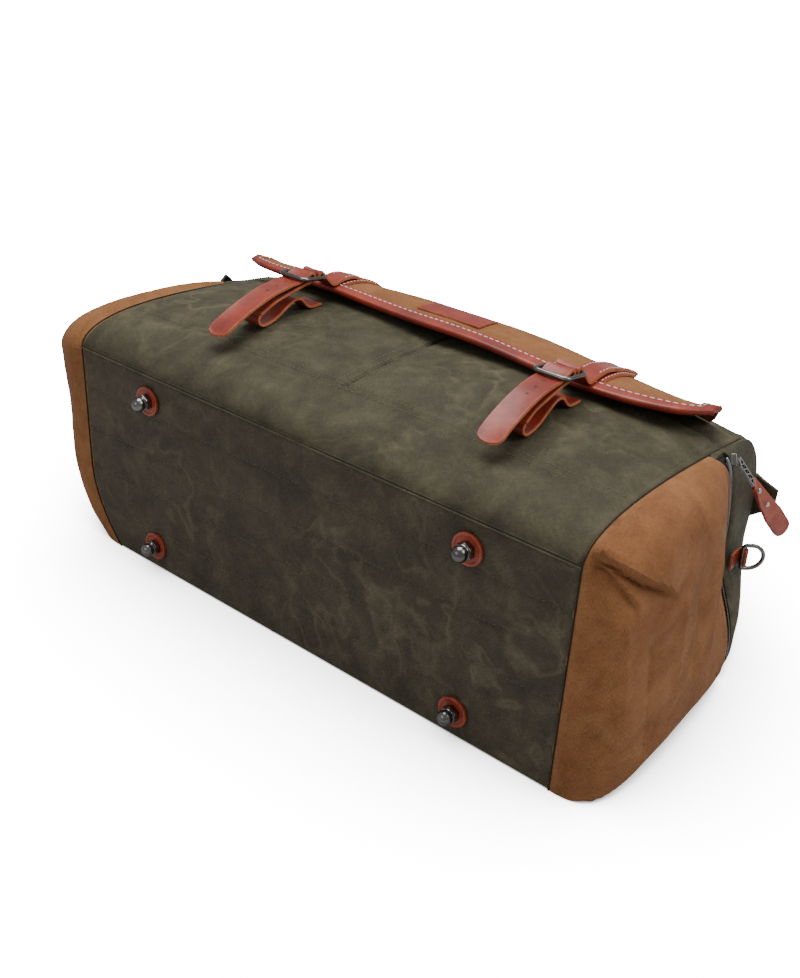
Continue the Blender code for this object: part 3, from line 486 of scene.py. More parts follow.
def darken(tree, colour, shade):
    """A colour multiplied by a grey value."""
    grey = add(tree, "ShaderNodeCombineColor")
    for socket in grey.inputs[:3]:
        tree.links.new(shade, socket)
    return blend_colours(tree, 1.0, colour, grey.outputs[0], "MULTIPLY")


def new_material(name, **values):
    made = bpy.data.materials.new(name)
    made.use_nodes = True
    shader = made.node_tree.nodes["Principled BSDF"]
    for key, value in values.items():
        shader.inputs[key.replace("_", " ")].default_value = value
    return made, made.node_tree, shader


def group(tree, content, coords, **values):
    node = add(tree, "ShaderNodeGroup", node_tree=content)
    tree.links.new(coords, node.inputs[0])
    for key, value in values.items():
        node.inputs[key].default_value = value
    return node


def bump(tree, shader, *layers):
    """Stack bumps, each a height with its depth in metres."""
    before = None
    for height, depth in layers:
        node = add(tree, "ShaderNodeBump", Strength=1.0, Distance=depth)
        tree.links.new(height, node.inputs["Height"])
        if before:
            tree.links.new(before, node.inputs["Normal"])
        before = node.outputs[0]
    tree.links.new(before, shader.inputs["Normal"])


def waxed_canvas(name, base, cloud, crack, worn, roughness, threads=950.0, creased=0.42):
    made, tree, shader = new_material(name, Sheen_Weight=0.02, Sheen_Roughness=0.5, Specular_IOR_Level=0.18)
    coords = add(tree, "ShaderNodeTexCoord")
    weave = group(tree, WEAVE, coords.outputs["UV"], Threads=threads)
    wax = group(tree, WAX, coords.outputs["Object"])
    rim = group(tree, RIM_WEAR, coords.outputs["Object"], Reach=0.007)
    colour = blend_colours(tree, wax.outputs["Clouds"], base, cloud)
    colour = blend_colours(tree, maths(tree, "MULTIPLY", wax.outputs["Cracks"], creased), colour, crack)
    colour = blend_colours(tree, maths(tree, "MULTIPLY", rim.outputs["Wear"], 0.5), colour, worn)
    yarn = spread(tree, weave.outputs["Slub"], 0.3, 0.7, 0.64, 1.30)
    shade = maths(tree, "MULTIPLY", yarn, spread(tree, wax.outputs["Dust"], 0.0, 1.0, 0.80, 1.18))
    tree.links.new(darken(tree, colour, shade), shader.inputs["Base Color"])
    gloss = spread(tree, wax.outputs["Dust"], 0.0, 1.0, roughness - 0.10, roughness + 0.12)
    tree.links.new(gloss, shader.inputs["Roughness"])
    bump(tree, shader, (weave.outputs["Height"], 0.00012), (weave.outputs["Slub"], 0.00018),
         (wax.outputs["Clouds"], 0.0006))
    return made


def brushed_canvas(name, base, shade, pale):
    made, tree, shader = new_material(name, Sheen_Weight=0.04, Sheen_Roughness=0.45, Specular_IOR_Level=0.10)
    coords = add(tree, "ShaderNodeTexCoord")
    weave = group(tree, WEAVE, coords.outputs["UV"], Threads=780.0)
    wax = group(tree, WAX, coords.outputs["Object"], Lines=10.0)
    rim = group(tree, RIM_WEAR, coords.outputs["Object"], Reach=0.008)
    colour = blend_colours(tree, wax.outputs["Clouds"], base, shade)
    colour = blend_colours(tree, maths(tree, "MULTIPLY", wax.outputs["Cracks"], 0.25), colour, pale)
    colour = blend_colours(tree, maths(tree, "MULTIPLY", rim.outputs["Wear"], 0.4), colour, pale)
    tone = spread(tree, weave.outputs["Slub"], 0.3, 0.7, 0.70, 1.24)
    tree.links.new(darken(tree, colour, tone), shader.inputs["Base Color"])
    tree.links.new(spread(tree, wax.outputs["Dust"], 0.0, 1.0, 0.72, 0.92), shader.inputs["Roughness"])
    bump(tree, shader, (weave.outputs["Height"], 0.00018), (weave.outputs["Slub"], 0.00022))
    return made


def leather(name, base, deep, pale, roughness, coat):
    made, tree, shader = new_material(name, Coat_Weight=coat, Coat_Roughness=0.22, Specular_IOR_Level=0.35)
    coords = add(tree, "ShaderNodeTexCoord")
    grain = group(tree, GRAIN, coords.outputs["Object"])
    rim = group(tree, RIM_WEAR, coords.outputs["Object"], Reach=0.0022)
    colour = blend_colours(tree, grain.outputs["Tone"], base, deep)
    colour = blend_colours(tree, maths(tree, "MULTIPLY", grain.outputs["Scuff"], 0.18), colour, pale)
    colour = blend_colours(tree, maths(tree, "MULTIPLY", rim.outputs["Wear"], 0.45), colour, pale)
    tree.links.new(colour, shader.inputs["Base Color"])
    gloss = spread(tree, grain.outputs["Tone"], 0.0, 1.0, roughness - 0.05, roughness + 0.08)
    tree.links.new(gloss, shader.inputs["Roughness"])
    bump(tree, shader, (grain.outputs["Pebble"], 0.00006), (grain.outputs["Tone"], 0.0003))
    return made


def metal(name, base, dull, roughness):
    made, tree, shader = new_material(name, Metallic=1.0)
    coords = add(tree, "ShaderNodeTexCoord")
    grain = group(tree, GRAIN, coords.outputs["Object"])
    colour = blend_colours(tree, grain.outputs["Tone"], base, dull)
    tree.links.new(colour, shader.inputs["Base Color"])
    gloss = spread(tree, grain.outputs["Scuff"], 0.0, 1.0, roughness, roughness + 0.14)
    tree.links.new(gloss, shader.inputs["Roughness"])
    bump(tree, shader, (grain.outputs["Tone"], 0.0001))
    return made


def thread(name, base, shade):
    made, tree, shader = new_material(name, Sheen_Weight=0.3, Specular_IOR_Level=0.3)
    coords = add(tree, "ShaderNodeTexCoord")
    twist = add(tree, "ShaderNodeTexNoise", Scale=1800.0, Detail=2.0)
    tree.links.new(coords.outputs["Object"], twist.inputs["Vector"])
    colour = blend_colours(tree, spread(tree, twist.outputs[0], 0.35, 0.65), base, shade)
    tree.links.new(colour, shader.inputs["Base Color"])
    tree.links.new(spread(tree, twist.outputs[0], 0.3, 0.7, 0.6, 0.85), shader.inputs["Roughness"])
    bump(tree, shader, (twist.outputs[0], 0.0001))
    return made


OLIVE = waxed_canvas("olive_canvas", (0.053, 0.0465, 0.0265), (0.093, 0.082, 0.046), (0.200, 0.172, 0.090),
                     (0.120, 0.103, 0.056), 0.66)
# The base's own copy of the olive canvas, greyer and rougher, toned to the base as it looks in its shade: its
# difference from the olive canvas is painted shade
BASE_SHADE_OLIVE = waxed_canvas("base_canvas", (0.066, 0.0555, 0.0370), (0.098, 0.083, 0.054),
                          (0.190, 0.160, 0.098), (0.138, 0.118, 0.075), 0.74, 950.0, 0.4)
TAN = brushed_canvas("tan_canvas", (0.318, 0.138, 0.054), (0.224, 0.091, 0.035), (0.42, 0.21, 0.09))
RED_LEATHER = leather("red_leather", (0.320, 0.034, 0.013), (0.180, 0.017, 0.008), (0.48, 0.100, 0.045),
                      0.43, 0.26)
CUT_EDGE = leather("cut_edge", (0.52, 0.150, 0.055), (0.36, 0.085, 0.032), (0.62, 0.24, 0.11), 0.62, 0.0)
DARK_METAL = metal("dark_nickel", (0.24, 0.23, 0.22), (0.14, 0.135, 0.13), 0.22)
BRIGHT_METAL = metal("nickel", (0.60, 0.59, 0.57), (0.46, 0.45, 0.43), 0.22)
TAPE = waxed_canvas("zip_tape", (0.022, 0.021, 0.018), (0.034, 0.032, 0.027), (0.05, 0.048, 0.04),
                    (0.045, 0.042, 0.036), 0.74, 1500.0)
BOARD = leather("base_board", (0.030, 0.029, 0.028), (0.020, 0.020, 0.019), (0.06, 0.06, 0.058), 0.60, 0.0)
WHITE_THREAD = thread("white_thread", (0.80, 0.76, 0.70), (0.62, 0.57, 0.50))
OLIVE_THREAD = thread("olive_thread", (0.120, 0.106, 0.066), (0.070, 0.061, 0.038))
TAN_THREAD = thread("tan_thread", (0.30, 0.10, 0.035), (0.17, 0.055, 0.02))


def dress(piece, *materials):
    piece.data.materials.clear()
    for made in materials:
        piece.data.materials.append(made)
    return piece


# The bag's sections
def front_curve(x):
    share = min((x / HALF) ** 2, 1.0)
    shoulder = (lerp(SHOULDER_H, END_SHOULDER_H, share), lerp(SHOULDER_Z, END_SHOULDER_Z, share))
    swell = BASE_T + FRONT_SWELL
    first = (BASE_LEAN + FRONT_TURN, swell)
    second = (lerp(0.64, 0.62, share) * shoulder[0], lerp(swell - 0.0155, swell - 0.022, share))
    return (BASE_LEAN, BASE_T), first, second, shoulder


def top_curve(x):
    shoulder = front_curve(x)[3]
    reach = (8 * RIDGE_H - 2 * shoulder[0]) / 6
    return shoulder, (reach, TOP_FRONT_Z), (reach, TOP_BACK_Z), (shoulder[0], BACK_SHOULDER_Z)


def back_curve(x):
    shoulder = front_curve(x)[3][0]
    floor = shoulder - BACK_ROUND
    first = (floor + 0.69 * BACK_ROUND, 0.0)
    second = (floor + 0.43 * BACK_ROUND, 0.0)
    return (shoulder, BACK_SHOULDER_Z), first, second, (floor, 0.0)


def find(curve, axis, value):
    """Where along a curve its height or thickness takes a value."""
    low, high = 0.0, 1.0
    rising = curve[3][axis] > curve[0][axis]
    for _ in range(40):
        middle = (low + high) / 2
        if (bezier(curve, middle)[axis] < value) == rising:
            low = middle
        else:
            high = middle
    return low


def front_height(x, h):
    curve = front_curve(x)
    return bezier(curve, find(curve, 0, h))[1]


def top_height(x, z):
    curve = top_curve(x)
    return bezier(curve, find(curve, 1, z))[0]


def base_line(v):
    return lerp(0.0, BASE_LEAN, v), lerp(0.0, BASE_T, v)


def front_line(x, v):
    return bezier(front_curve(x), v ** 1.25)


def lip_line(x, v):
    curve = top_curve(x)
    return bezier(curve, v * find(curve, 1, RIDGE_Z + ZIP_W / 2))


def back_lip_line(x, v):
    curve = top_curve(x)
    start = find(curve, 1, RIDGE_Z - ZIP_W / 2)
    return bezier(curve, lerp(start, 1.0, v))


BACK_TURN = 0.36


def back_line(x, v):
    curve = back_curve(x)
    if v < BACK_TURN:
        return bezier(curve, v / BACK_TURN)
    return curve[3][0] * (1.0 - (v - BACK_TURN) / (1.0 - BACK_TURN)), 0.0


def ripple(place, seed, sizes):
    """Soft unevenness: noise of a few sizes, each a height and a number of waves per metre."""
    shift = Vector((seed * 3.1, seed * 7.7, seed * 1.3))
    return sum(height * noise.noise(place * waves + shift) for height, waves in sizes)


def seam_roll(rim, depth=0.0017):
    """How a sheet turns in at its sewn rim, past a slight ridge."""
    return -depth * math.exp(-rim / 0.0013) + 0.35 * depth * math.exp(-((rim - 0.0050) / 0.0024) ** 2)


CORNER_PULL = 0.034
CORNER_Z = 0.075
CORNER_X = 0.175
CORNER_RUN = 0.08


def round_corner(piece):
    """Draw in the bag's back left corner at the base, where it sags."""
    for vert in piece.data.vertices:
        low = max(1.0 - vert.co.z / CORNER_Z, 0.0)
        vert.co.x += CORNER_PULL * low * low * smooth((-vert.co.x - CORNER_X) / CORNER_RUN)
    piece.data.update()


SOFT = ((0.0013, 8.0), (0.0006, 24.0), (0.00022, 75.0))
SEAM_CALM = 0.02


def strip(name, line, cells, width, out, seed, sizes=SOFT, half=HALF):
    """A panel along the bag, from a line of (h, z) points across it."""
    def place(u, v):
        x = lerp(-half, half, u)
        return at(x, *line(x, v))

    piece = cloth(name, cells[0], cells[1], place, (2 * half, width), out)
    emboss(piece, lambda co, rim: seam_roll(rim) + ripple(co, seed, sizes) * smooth(rim / SEAM_CALM))
    return piece


# The base: quilted canvas, washers, feet
QUILT_ROWS = 5
QUILT_DEPTH = 0.0013


def quilt(co, rim):
    """The base's relief: rows of stitching, a crosswise fold and soft unevenness."""
    up = co.z / math.cos(LEAN) / BASE_LEN * QUILT_ROWS
    to_line = abs(up - round(up)) * BASE_LEN / QUILT_ROWS
    inside = 0 < round(up) < QUILT_ROWS
    groove = -QUILT_DEPTH * math.exp(-(to_line / 0.0021) ** 2) if inside else 0.0
    aside = co.x - (-0.022 + 0.012 * math.sin(co.z * 18.0))
    fold = 0.0010 * math.exp(-abs(aside) / 0.006) - 0.0007 * math.exp(-abs(aside - 0.012) / 0.012)
    return groove + fold + seam_roll(rim) + ripple(co, 4, SOFT) * smooth(rim / SEAM_CALM)


def make_base():
    piece = cloth("base_canvas", 220, 110, lambda u, v: at(lerp(-HALF, HALF, u), *base_line(v)),
                  (2 * HALF, BASE_LEN), (0, -1, 0))
    emboss(piece, quilt)
    round_corner(piece)
    lines = []
    for row in range(1, QUILT_ROWS):
        share = row / QUILT_ROWS
        lines.append([at(lerp(-HALF + 0.010, HALF - 0.003, k / 60), *base_line(share)) for k in range(61)])
    thread_rows = sew("base_stitches", piece, lines, QUILT_STITCH)
    thicken(piece, WALL)
    # The base wears the copy of the olive canvas toned for its shade: painted shade
    wear(dress(piece, BASE_SHADE_OLIVE), "bag", "base_canvas", "bottom_panel")
    wear(dress(thread_rows, OLIVE_THREAD), "bag", "base_canvas")
    dress(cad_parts["base_board"], BOARD)


FOOT_X = 0.1646
FOOT_SPAN = 0.0702
WASHER_R = 0.01265
WASHER_T = 0.0026
FOOT_R = 0.0070
FOOT_HEIGHT = 0.0135
NUT_R = FOOT_R * 1.04
NUT_HEIGHT = 0.0048
DOME_R = FOOT_R * 0.88
NECK_R = FOOT_R * 0.80
COLLAR_LIFT = 0.0055
GAP = 0.0003


def base_matrix(x, up, depth):
    """The place of a piece on the base, with its Z pointing out of the bag."""
    turn = Matrix.Rotation(-LEAN, 4, "X")
    place = at(x, 0.0, 0.0) + turn @ Vector((0.0, depth, up))
    return Matrix.Translation(place) @ turn @ Matrix.Rotation(math.pi / 2, 4, "X")


def put(piece, matrix):
    piece.data.transform(matrix)
    piece.data.update()
    return piece


def select_faces(piece, test):
    """Select the faces that pass a test, in object mode."""
    only(piece)
    bpy.ops.object.mode_set(mode="EDIT")
    bpy.ops.mesh.select_mode(type="FACE")
    bpy.ops.mesh.select_all(action="DESELECT")
    bpy.ops.object.mode_set(mode="OBJECT")
    for face in piece.data.polygons:
        face.select = test(face)


def make_washer(name):
    """A leather washer: a disc with a sunk middle, a raised rim and a rounded edge."""
    piece = basic(bpy.ops.mesh.primitive_cylinder_add, name, vertices=48, radius=WASHER_R, depth=WASHER_T,
                  location=(0, 0, WASHER_T / 2))
    settle(piece)
    select_faces(piece, lambda f: f.normal.z > 0.9)
    bpy.ops.object.mode_set(mode="EDIT")
    bpy.ops.mesh.inset(thickness=0.0022)
    bpy.ops.mesh.inset(thickness=0.0006)
    bpy.ops.transform.translate(value=(0, 0, -0.0007))
    bpy.ops.mesh.inset(thickness=0.0030)
    bpy.ops.mesh.inset(thickness=0.0020)
    bpy.ops.transform.translate(value=(0, 0, -0.0002))
    bpy.ops.object.mode_set(mode="OBJECT")
    finish_with(piece, "BEVEL", width=0.0005, segments=3, limit_method="ANGLE")
    smooth_by(piece, 40)
    return piece


def make_foot(name):
    """An acorn-shaped foot: a hexagon, a neck and a dome."""
    seat = WASHER_T - 0.0006
    nut = basic(bpy.ops.mesh.primitive_cylinder_add, "nut", vertices=6, radius=NUT_R, depth=NUT_HEIGHT,
                location=(0, 0, seat + NUT_HEIGHT / 2))
    settle(nut)
    finish_with(nut, "BEVEL", width=0.0006, segments=2)
    dome = basic(bpy.ops.mesh.primitive_uv_sphere_add, "dome", segments=40, ring_count=20, radius=DOME_R)
    lift = WASHER_T + FOOT_HEIGHT - DOME_R
    for vert in dome.data.vertices:
        if vert.co.z < 0.0:
            vert.co.z *= 0.55
            keep = NECK_R / max(math.hypot(vert.co.x, vert.co.y), 1e-6)
            if keep < 1.0 or vert.co.z < -0.001:
                vert.co.x *= min(keep, 1.0)
                vert.co.y *= min(keep, 1.0)
        vert.co.z += lift
    collar = basic(bpy.ops.mesh.primitive_torus_add, "collar", major_radius=NECK_R, minor_radius=0.0008,
                   major_segments=40, minor_segments=8, location=(0, 0, seat + COLLAR_LIFT))
    settle(collar)
    piece = join(name, nut, dome, collar)
    smooth_by(piece, 35)
    return piece


def make_feet():
    for side_name, side in SIDES:
        for row, up in (("back", BASE_LEN / 2 - FOOT_SPAN), ("front", BASE_LEN / 2 + FOOT_SPAN)):
            matrix = base_matrix(side * FOOT_X, up, -GAP)
            label = f"{row}_{side_name}"
            washer = put(make_washer(f"leather_washer_{label}"), matrix)
            wear(dress(washer, RED_LEATHER), "bag", "leather", f"washer_{label}")
            foot = put(make_foot(f"acorn_foot_{label}"), matrix)
            wear(dress(foot, DARK_METAL), "bag", "metal", f"foot_{label}")


# The front, top and back
FLAT = ((0.0004, 8.0), (0.0002, 30.0))


def make_panel(name, line, cells, width, out, seed, body, node, sizes=SOFT):
    panel = strip(name, line, cells, width, out, seed, sizes)
    round_corner(panel)
    thicken(panel, WALL)
    wear(dress(panel, OLIVE), body, "green_canvas", node)


def make_panels():
    make_panel("front_canvas", front_line, (220, 110), 0.27, (0, 0, 1), 1, "bag", "front_panel")
    make_panel("front_lip_canvas", lip_line, (200, 40), 0.09, (0, 1, 1), 2, "front_lip", "front_lip")
    make_panel("back_lip_canvas", back_lip_line, (200, 40), 0.09, (0, 1, -0.5), 3, "bag", "back_lip")
    make_panel("back_canvas", back_line, (200, 90), 0.28, (0, 0.3, -1), 5, "bag", "back_panel", FLAT)


FOLD_REACH = 0.13
FOLD_ON_LIP = 0.30
FOLD_SHARE = 0.6
FOLD_IN = 0.0060
FOLD_CENTRE = (0.12, 0.09)
FOLD_T = 0.0008
FOLD_SHORT = 0.003
FOLD_RIPPLE = ((0.0003, 20.0),)


def fold_line(x, v):
    """The way of the canvas inside the lip's hinge: up the front's inside and on along the lip's."""
    if v < FOLD_SHARE:
        h, z = bezier(front_curve(x), 1.0 - FOLD_REACH * (1.0 - v / FOLD_SHARE))
    else:
        h, z = lip_line(x, FOLD_ON_LIP * (v - FOLD_SHARE) / (1.0 - FOLD_SHARE))
    inward = Vector((FOLD_CENTRE[0] - h, FOLD_CENTRE[1] - z)).normalized() * FOLD_IN
    return h + inward.x, z + inward.y


def bend_with_lip(fold):
    """Give a fold of canvas its thickness and the olive canvas, and put its place into its mesh."""
    thicken(fold, FOLD_T)
    dress(fold, OLIVE)
    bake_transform(fold)


def make_lip_fold():
    """The canvas that joins the front to the lip."""
    fold = strip("lip_fold_canvas", fold_line, (160, 24), 0.060, (0, 0.5, 1), 8, FOLD_RIPPLE,
                 HALF - FOLD_SHORT)
    bend_with_lip(fold)


SIDE_FOLD_OUT = HALF - 0.0015
SIDE_FOLD_W = 0.012
SIDE_FOLD_IN = 0.0045


def make_side_folds():
    """The canvas between each end of the lip and the bag's end."""
    for name, side in SIDES:
        def place(u, v):
            h, z = lip_line(HALF, v)
            out = SIDE_FOLD_OUT - SIDE_FOLD_W * u
            return at(side * out, h - SIDE_FOLD_IN, z - SIDE_FOLD_IN * (1.0 - v))

        fold = cloth(f"{name}_side_fold_canvas", 24, 30, place, (SIDE_FOLD_W, 0.09), (0, 1, 0.3))
        bend_with_lip(fold)


# The radius of the thin dark cords of painted shade laid in the seams' creases
SHADE_CORD_R = 0.0006

# Along the edge of base and front: how far out and up each lies, its radius and its finish
BASE_EDGE = (
    ("piping", 0.0006, -0.0008, 0.0010, OLIVE),
    # a thin dark cord of painted shade in the crease between piping and front
    ("shade_cord", -0.0002, 0.0006, SHADE_CORD_R, TAPE),
)


def make_seams():
    """The piping between base and front, with a thin dark cord of painted shade in the crease between it and
    the front, and a dark cord of painted shade along each end seam.
    """
    for label, out, up, radius, finish in BASE_EDGE:
        line = [at(lerp(-HALF, HALF, k / 60), BASE_LEAN - out, BASE_T + up) for k in range(61)]
        piece = wire(f"base_{label}", line, radius)
        wear(dress(piece, finish), "bag", "green_canvas")
    for name, side in SIDES:
        points = [base_line(k / 20) for k in range(20)]
        points += [bezier(front_curve(HALF), k / 60) for k in range(61)]
        # a thin dark cord of painted shade along the end seam's crease
        shade_cord = wire(f"{name}_end_shade_cord", [at(side * HALF, h, z) for h, z in points], SHADE_CORD_R)
        round_corner(shade_cord)
        wear(dress(shade_cord, TAPE), "bag", "green_canvas")


# The ends
def outline():
    """The bag's outline at the end seam, as points round it."""
    points = [base_line(k / 24) for k in range(24)]
    points += [bezier(front_curve(HALF), k / 60) for k in range(60)]
    points += [bezier(top_curve(HALF), k / 60) for k in range(60)]
    points += [bezier(back_curve(HALF), k / 24) for k in range(24)]
    floor = back_curve(HALF)[3][0]
    return points + [(floor * (1 - k / 24), 0.0) for k in range(24)]


OUTLINE = outline()


def reach_from(centre, way):
    """How far the outline lies from a point inside it, in a direction."""
    best = 0.0
    for a, b in zip(OUTLINE, OUTLINE[1:] + OUTLINE[:1]):
        p = (a[0] - centre[0], a[1] - centre[1])
        q = (b[0] - centre[0], b[1] - centre[1])
        cross = p[0] * q[1] - p[1] * q[0]
        if abs(cross) < 1e-12:
            continue
        s = (way[0] * q[1] - way[1] * q[0]) / cross
        t = (p[0] * way[1] - p[1] * way[0]) / cross
        if s >= -1e-9 and t >= -1e-9 and s + t > 1e-9:
            best = max(best, 1.0 / (s + t))
    return best


REACH_STEPS = 3600


def reach_table(centre):
    """The outline's distance from a point, all the way round it."""
    turns = [2 * math.pi * step / REACH_STEPS for step in range(REACH_STEPS)]
    return [reach_from(centre, (math.cos(turn), math.sin(turn))) for turn in turns]


def read_reach(table, share):
    """The distance at a share of a full turn."""
    place = (share % 1.0) * REACH_STEPS
    low = int(place) % REACH_STEPS
    return lerp(table[low], table[(low + 1) % REACH_STEPS], place - int(place))


BULGE_REACH = reach_table(BULGE_CENTRE)
EDGE_REACH = reach_table(ARCH_CENTRE)


def end_out(h, z):
    """How far out an end reaches at a height and thickness."""
    way = (h - BULGE_CENTRE[0], z - BULGE_CENTRE[1])
    edge = read_reach(BULGE_REACH, math.atan2(way[1], way[0]) / (2 * math.pi))
    rho = math.hypot(*way) / edge
    share = max(1.0 - rho ** BULGE_POWER, 0.0) ** (1.0 / BULGE_POWER)
    taper = BULGE_TAPER * smooth((h - TAPER_H) / TAPER_RUN) * smooth(z / TAPER_Z)
    return HALF + BULGE * share * (1.0 - taper)


def arch_frame(side):
    """The end zip's circle: its middle, its axis, its way up and its way across."""
    points = []
    for angle in (-ARCH_SEAT, 0.0, ARCH_SEAT):
        h = ARCH_CENTRE[0] + ARCH_R * math.cos(math.radians(angle))
        z = ARCH_CENTRE[1] + ARCH_R * math.sin(math.radians(angle))
        points.append(at(side * end_out(h, z), h, z))
    back, top, front = points
    across = (front - back).normalized()
    up = top - (front + back) / 2
    up = (up - across * up.dot(across)).normalized()
    return top - up * ARCH_R, side * up.cross(across), up, across


def arch_place(side, angle, radius, out):
    """A point by the end zip: an angle from the arch's top, a radius and a height."""
    middle, axis, up, across = arch_frame(side)
    turn = math.radians(angle)
    return middle + radius * (math.cos(turn) * up + math.sin(turn) * across) + out * axis


ARCH_SPREAD = math.degrees(math.acos(ARCH_FOOT / ARCH_R))
ARCH_OPEN = 7.0


def arch_table(radius):
    """The arch as seen from the side: angles about the arch's centre, with their radii."""
    table = []
    for step in range(-75, 76):
        place = arch_place(1, step, radius, 0.0)
        h, z = place.y + BACK_MID - ARCH_CENTRE[0], place.z - ARCH_CENTRE[1]
        table.append((math.degrees(math.atan2(z, h)), math.hypot(h, z)))
    return table


ARCH_TABLES = {offset: arch_table(ARCH_R + offset) for offset in (-ZIP_W / 2, 0.0, ZIP_W / 2)}


def arch_radius(angle, offset):
    table = ARCH_TABLES[offset]
    for (a, r), (b, q) in zip(table, table[1:]):
        if a <= angle <= b:
            return lerp(r, q, (angle - a) / (b - a))
    return table[0][1] if angle < table[0][0] else table[-1][1]


def arch_rim(angle):
    """The tan pocket's rim at an angle from the arch's top, and the end seam there."""
    edge = read_reach(EDGE_REACH, angle / 360.0)
    blend = smooth((abs(angle) - ARCH_SPREAD) / ARCH_OPEN)
    return lerp(min(arch_radius(angle, -ZIP_W / 2), edge), edge, blend), edge


def end_ray(side, angle, low, high, count):
    """Points outwards along an end's surface, evenly spaced, between two radii about the arch."""
    turn = math.radians(angle)
    points = []
    for k in range(81):
        t = k / 80
        radius = lerp(low, high, 1.0 - (1.0 - t) ** 2)
        h = ARCH_CENTRE[0] + radius * math.cos(turn)
        z = ARCH_CENTRE[1] + radius * math.sin(turn)
        points.append(at(side * end_out(h, z), h, z))
    if high > arch_rim(angle)[1] - 1e-6:
        points[-1].x = side * HALF
    run = [0.0]
    for a, b in zip(points, points[1:]):
        run.append(run[-1] + (b - a).length)
    out = []
    k = 0
    for step in range(count + 1):
        due = run[-1] * step / count
        while k < len(run) - 2 and run[k + 1] < due:
            k += 1
        span = max(run[k + 1] - run[k], 1e-9)
        out.append(points[k].lerp(points[k + 1], min((due - run[k]) / span, 1.0)))
    return out


def rays(side, angles, radii, count):
    return [end_ray(side, angle, *radii(angle), count) for angle in angles]


TUCK = 0.0018
SECTION_CORNERS = ((0.0, 0.0), (BASE_LEAN, BASE_T), front_curve(HALF)[3])

# Ledges in the tan ends, where the cloth folds over itself: (h, z) from and to, height, width
LEDGES = {
    1: (((0.014, 0.202), (0.062, 0.154), 0.0056, 0.0240), ((0.016, 0.196), (0.026, 0.158), 0.0030, 0.0070)),
    -1: (),
}

# Soft folds in the tan ends: (h, z) from and to, depth, width
FOLDS = {
    1: (((0.021, 0.150), (0.024, 0.060), 0.0040, 0.0080), ((0.046, 0.120), (0.050, 0.030), -0.0042, 0.0080),
        ((0.080, 0.140), (0.084, 0.050), 0.0040, 0.0100), ((0.110, 0.120), (0.112, 0.030), -0.0036, 0.0090),
        ((0.140, 0.140), (0.134, 0.060), 0.0032, 0.0100)),
    -1: (((0.020, 0.180), (0.030, 0.080), 0.0080, 0.0450), ((0.060, 0.120), (0.080, 0.030), 0.0030, 0.0180),
         ((0.130, 0.150), (0.140, 0.060), -0.0030, 0.0140)),
}


def fold_relief(folds, h, z):
    total = 0.0
    for (h0, z0), (h1, z1), depth, width in folds:
        along = ((h - h0) * (h1 - h0) + (z - z0) * (z1 - z0)) / ((h1 - h0) ** 2 + (z1 - z0) ** 2)
        t = min(max(along, 0.0), 1.0)
        off = math.hypot(h - lerp(h0, h1, t), z - lerp(z0, z1, t))
        total += depth * math.exp(-off / width) * (1.0 - 0.55 * t)
    return total


def ledge_relief(ledges, h, z):
    """Folds that stand up sharply on one side and run out softly on the other."""
    total = 0.0
    for (h0, z0), (h1, z1), height, width in ledges:
        length = math.hypot(h1 - h0, z1 - z0)
        along = ((h - h0) * (h1 - h0) + (z - z0) * (z1 - z0)) / length ** 2
        aside = ((h - h0) * (z0 - z1) + (z - z0) * (h1 - h0)) / length
        aside += 0.0025 * math.sin(along * 5.0)
        fade = smooth((along + 0.25) / 0.3) * smooth((1.25 - along) / 0.6)
        total += height * fade * math.tanh(aside / 0.0009) * math.exp(-abs(aside) / width)
        total -= 0.45 * height * fade * math.exp(-((aside + 0.0022) / 0.0017) ** 2)
    return total


def end_relief(side):
    sizes = ((0.0030, 11.0), (0.0012, 26.0), (0.0003, 80.0))

    def relief(co, rim):
        h, z = co.y + BACK_MID, co.z
        lift = fold_relief(FOLDS[side], h, z) + ledge_relief(LEDGES[side], h, z) + ripple(co, 6 + side, sizes)
        low = smooth(z / 0.02)
        return seam_roll(rim, 0.0010) + lift * smooth(rim / 0.010) * low
    return relief


def arch_line(side, offset, angles):
    """A line along an end's arch, at an offset from the pocket's rim."""
    line = []
    for angle in angles:
        radius = arch_rim(angle)[0] + offset
        turn = math.radians(angle)
        h = ARCH_CENTRE[0] + radius * math.cos(turn)
        z = ARCH_CENTRE[1] + radius * math.sin(turn)
        line.append(at(side * end_out(h, z), h, z))
    return line


POCKET_RAYS = 360
RAY_CELLS = 110
ARCH_STITCHES = (0.0030, 0.0085)


def from_rays(table):
    """A place on a sheet that is laid along rays."""
    last_u = len(table) - 1
    last_v = len(table[0]) - 1
    return lambda u, v: table[round(u * last_u)][round(v * last_v)]


def arch_span(half, steps):
    """Even angles along the arch, either way from its top."""
    return [half * (k / steps * 2 - 1) for k in range(steps + 1)]


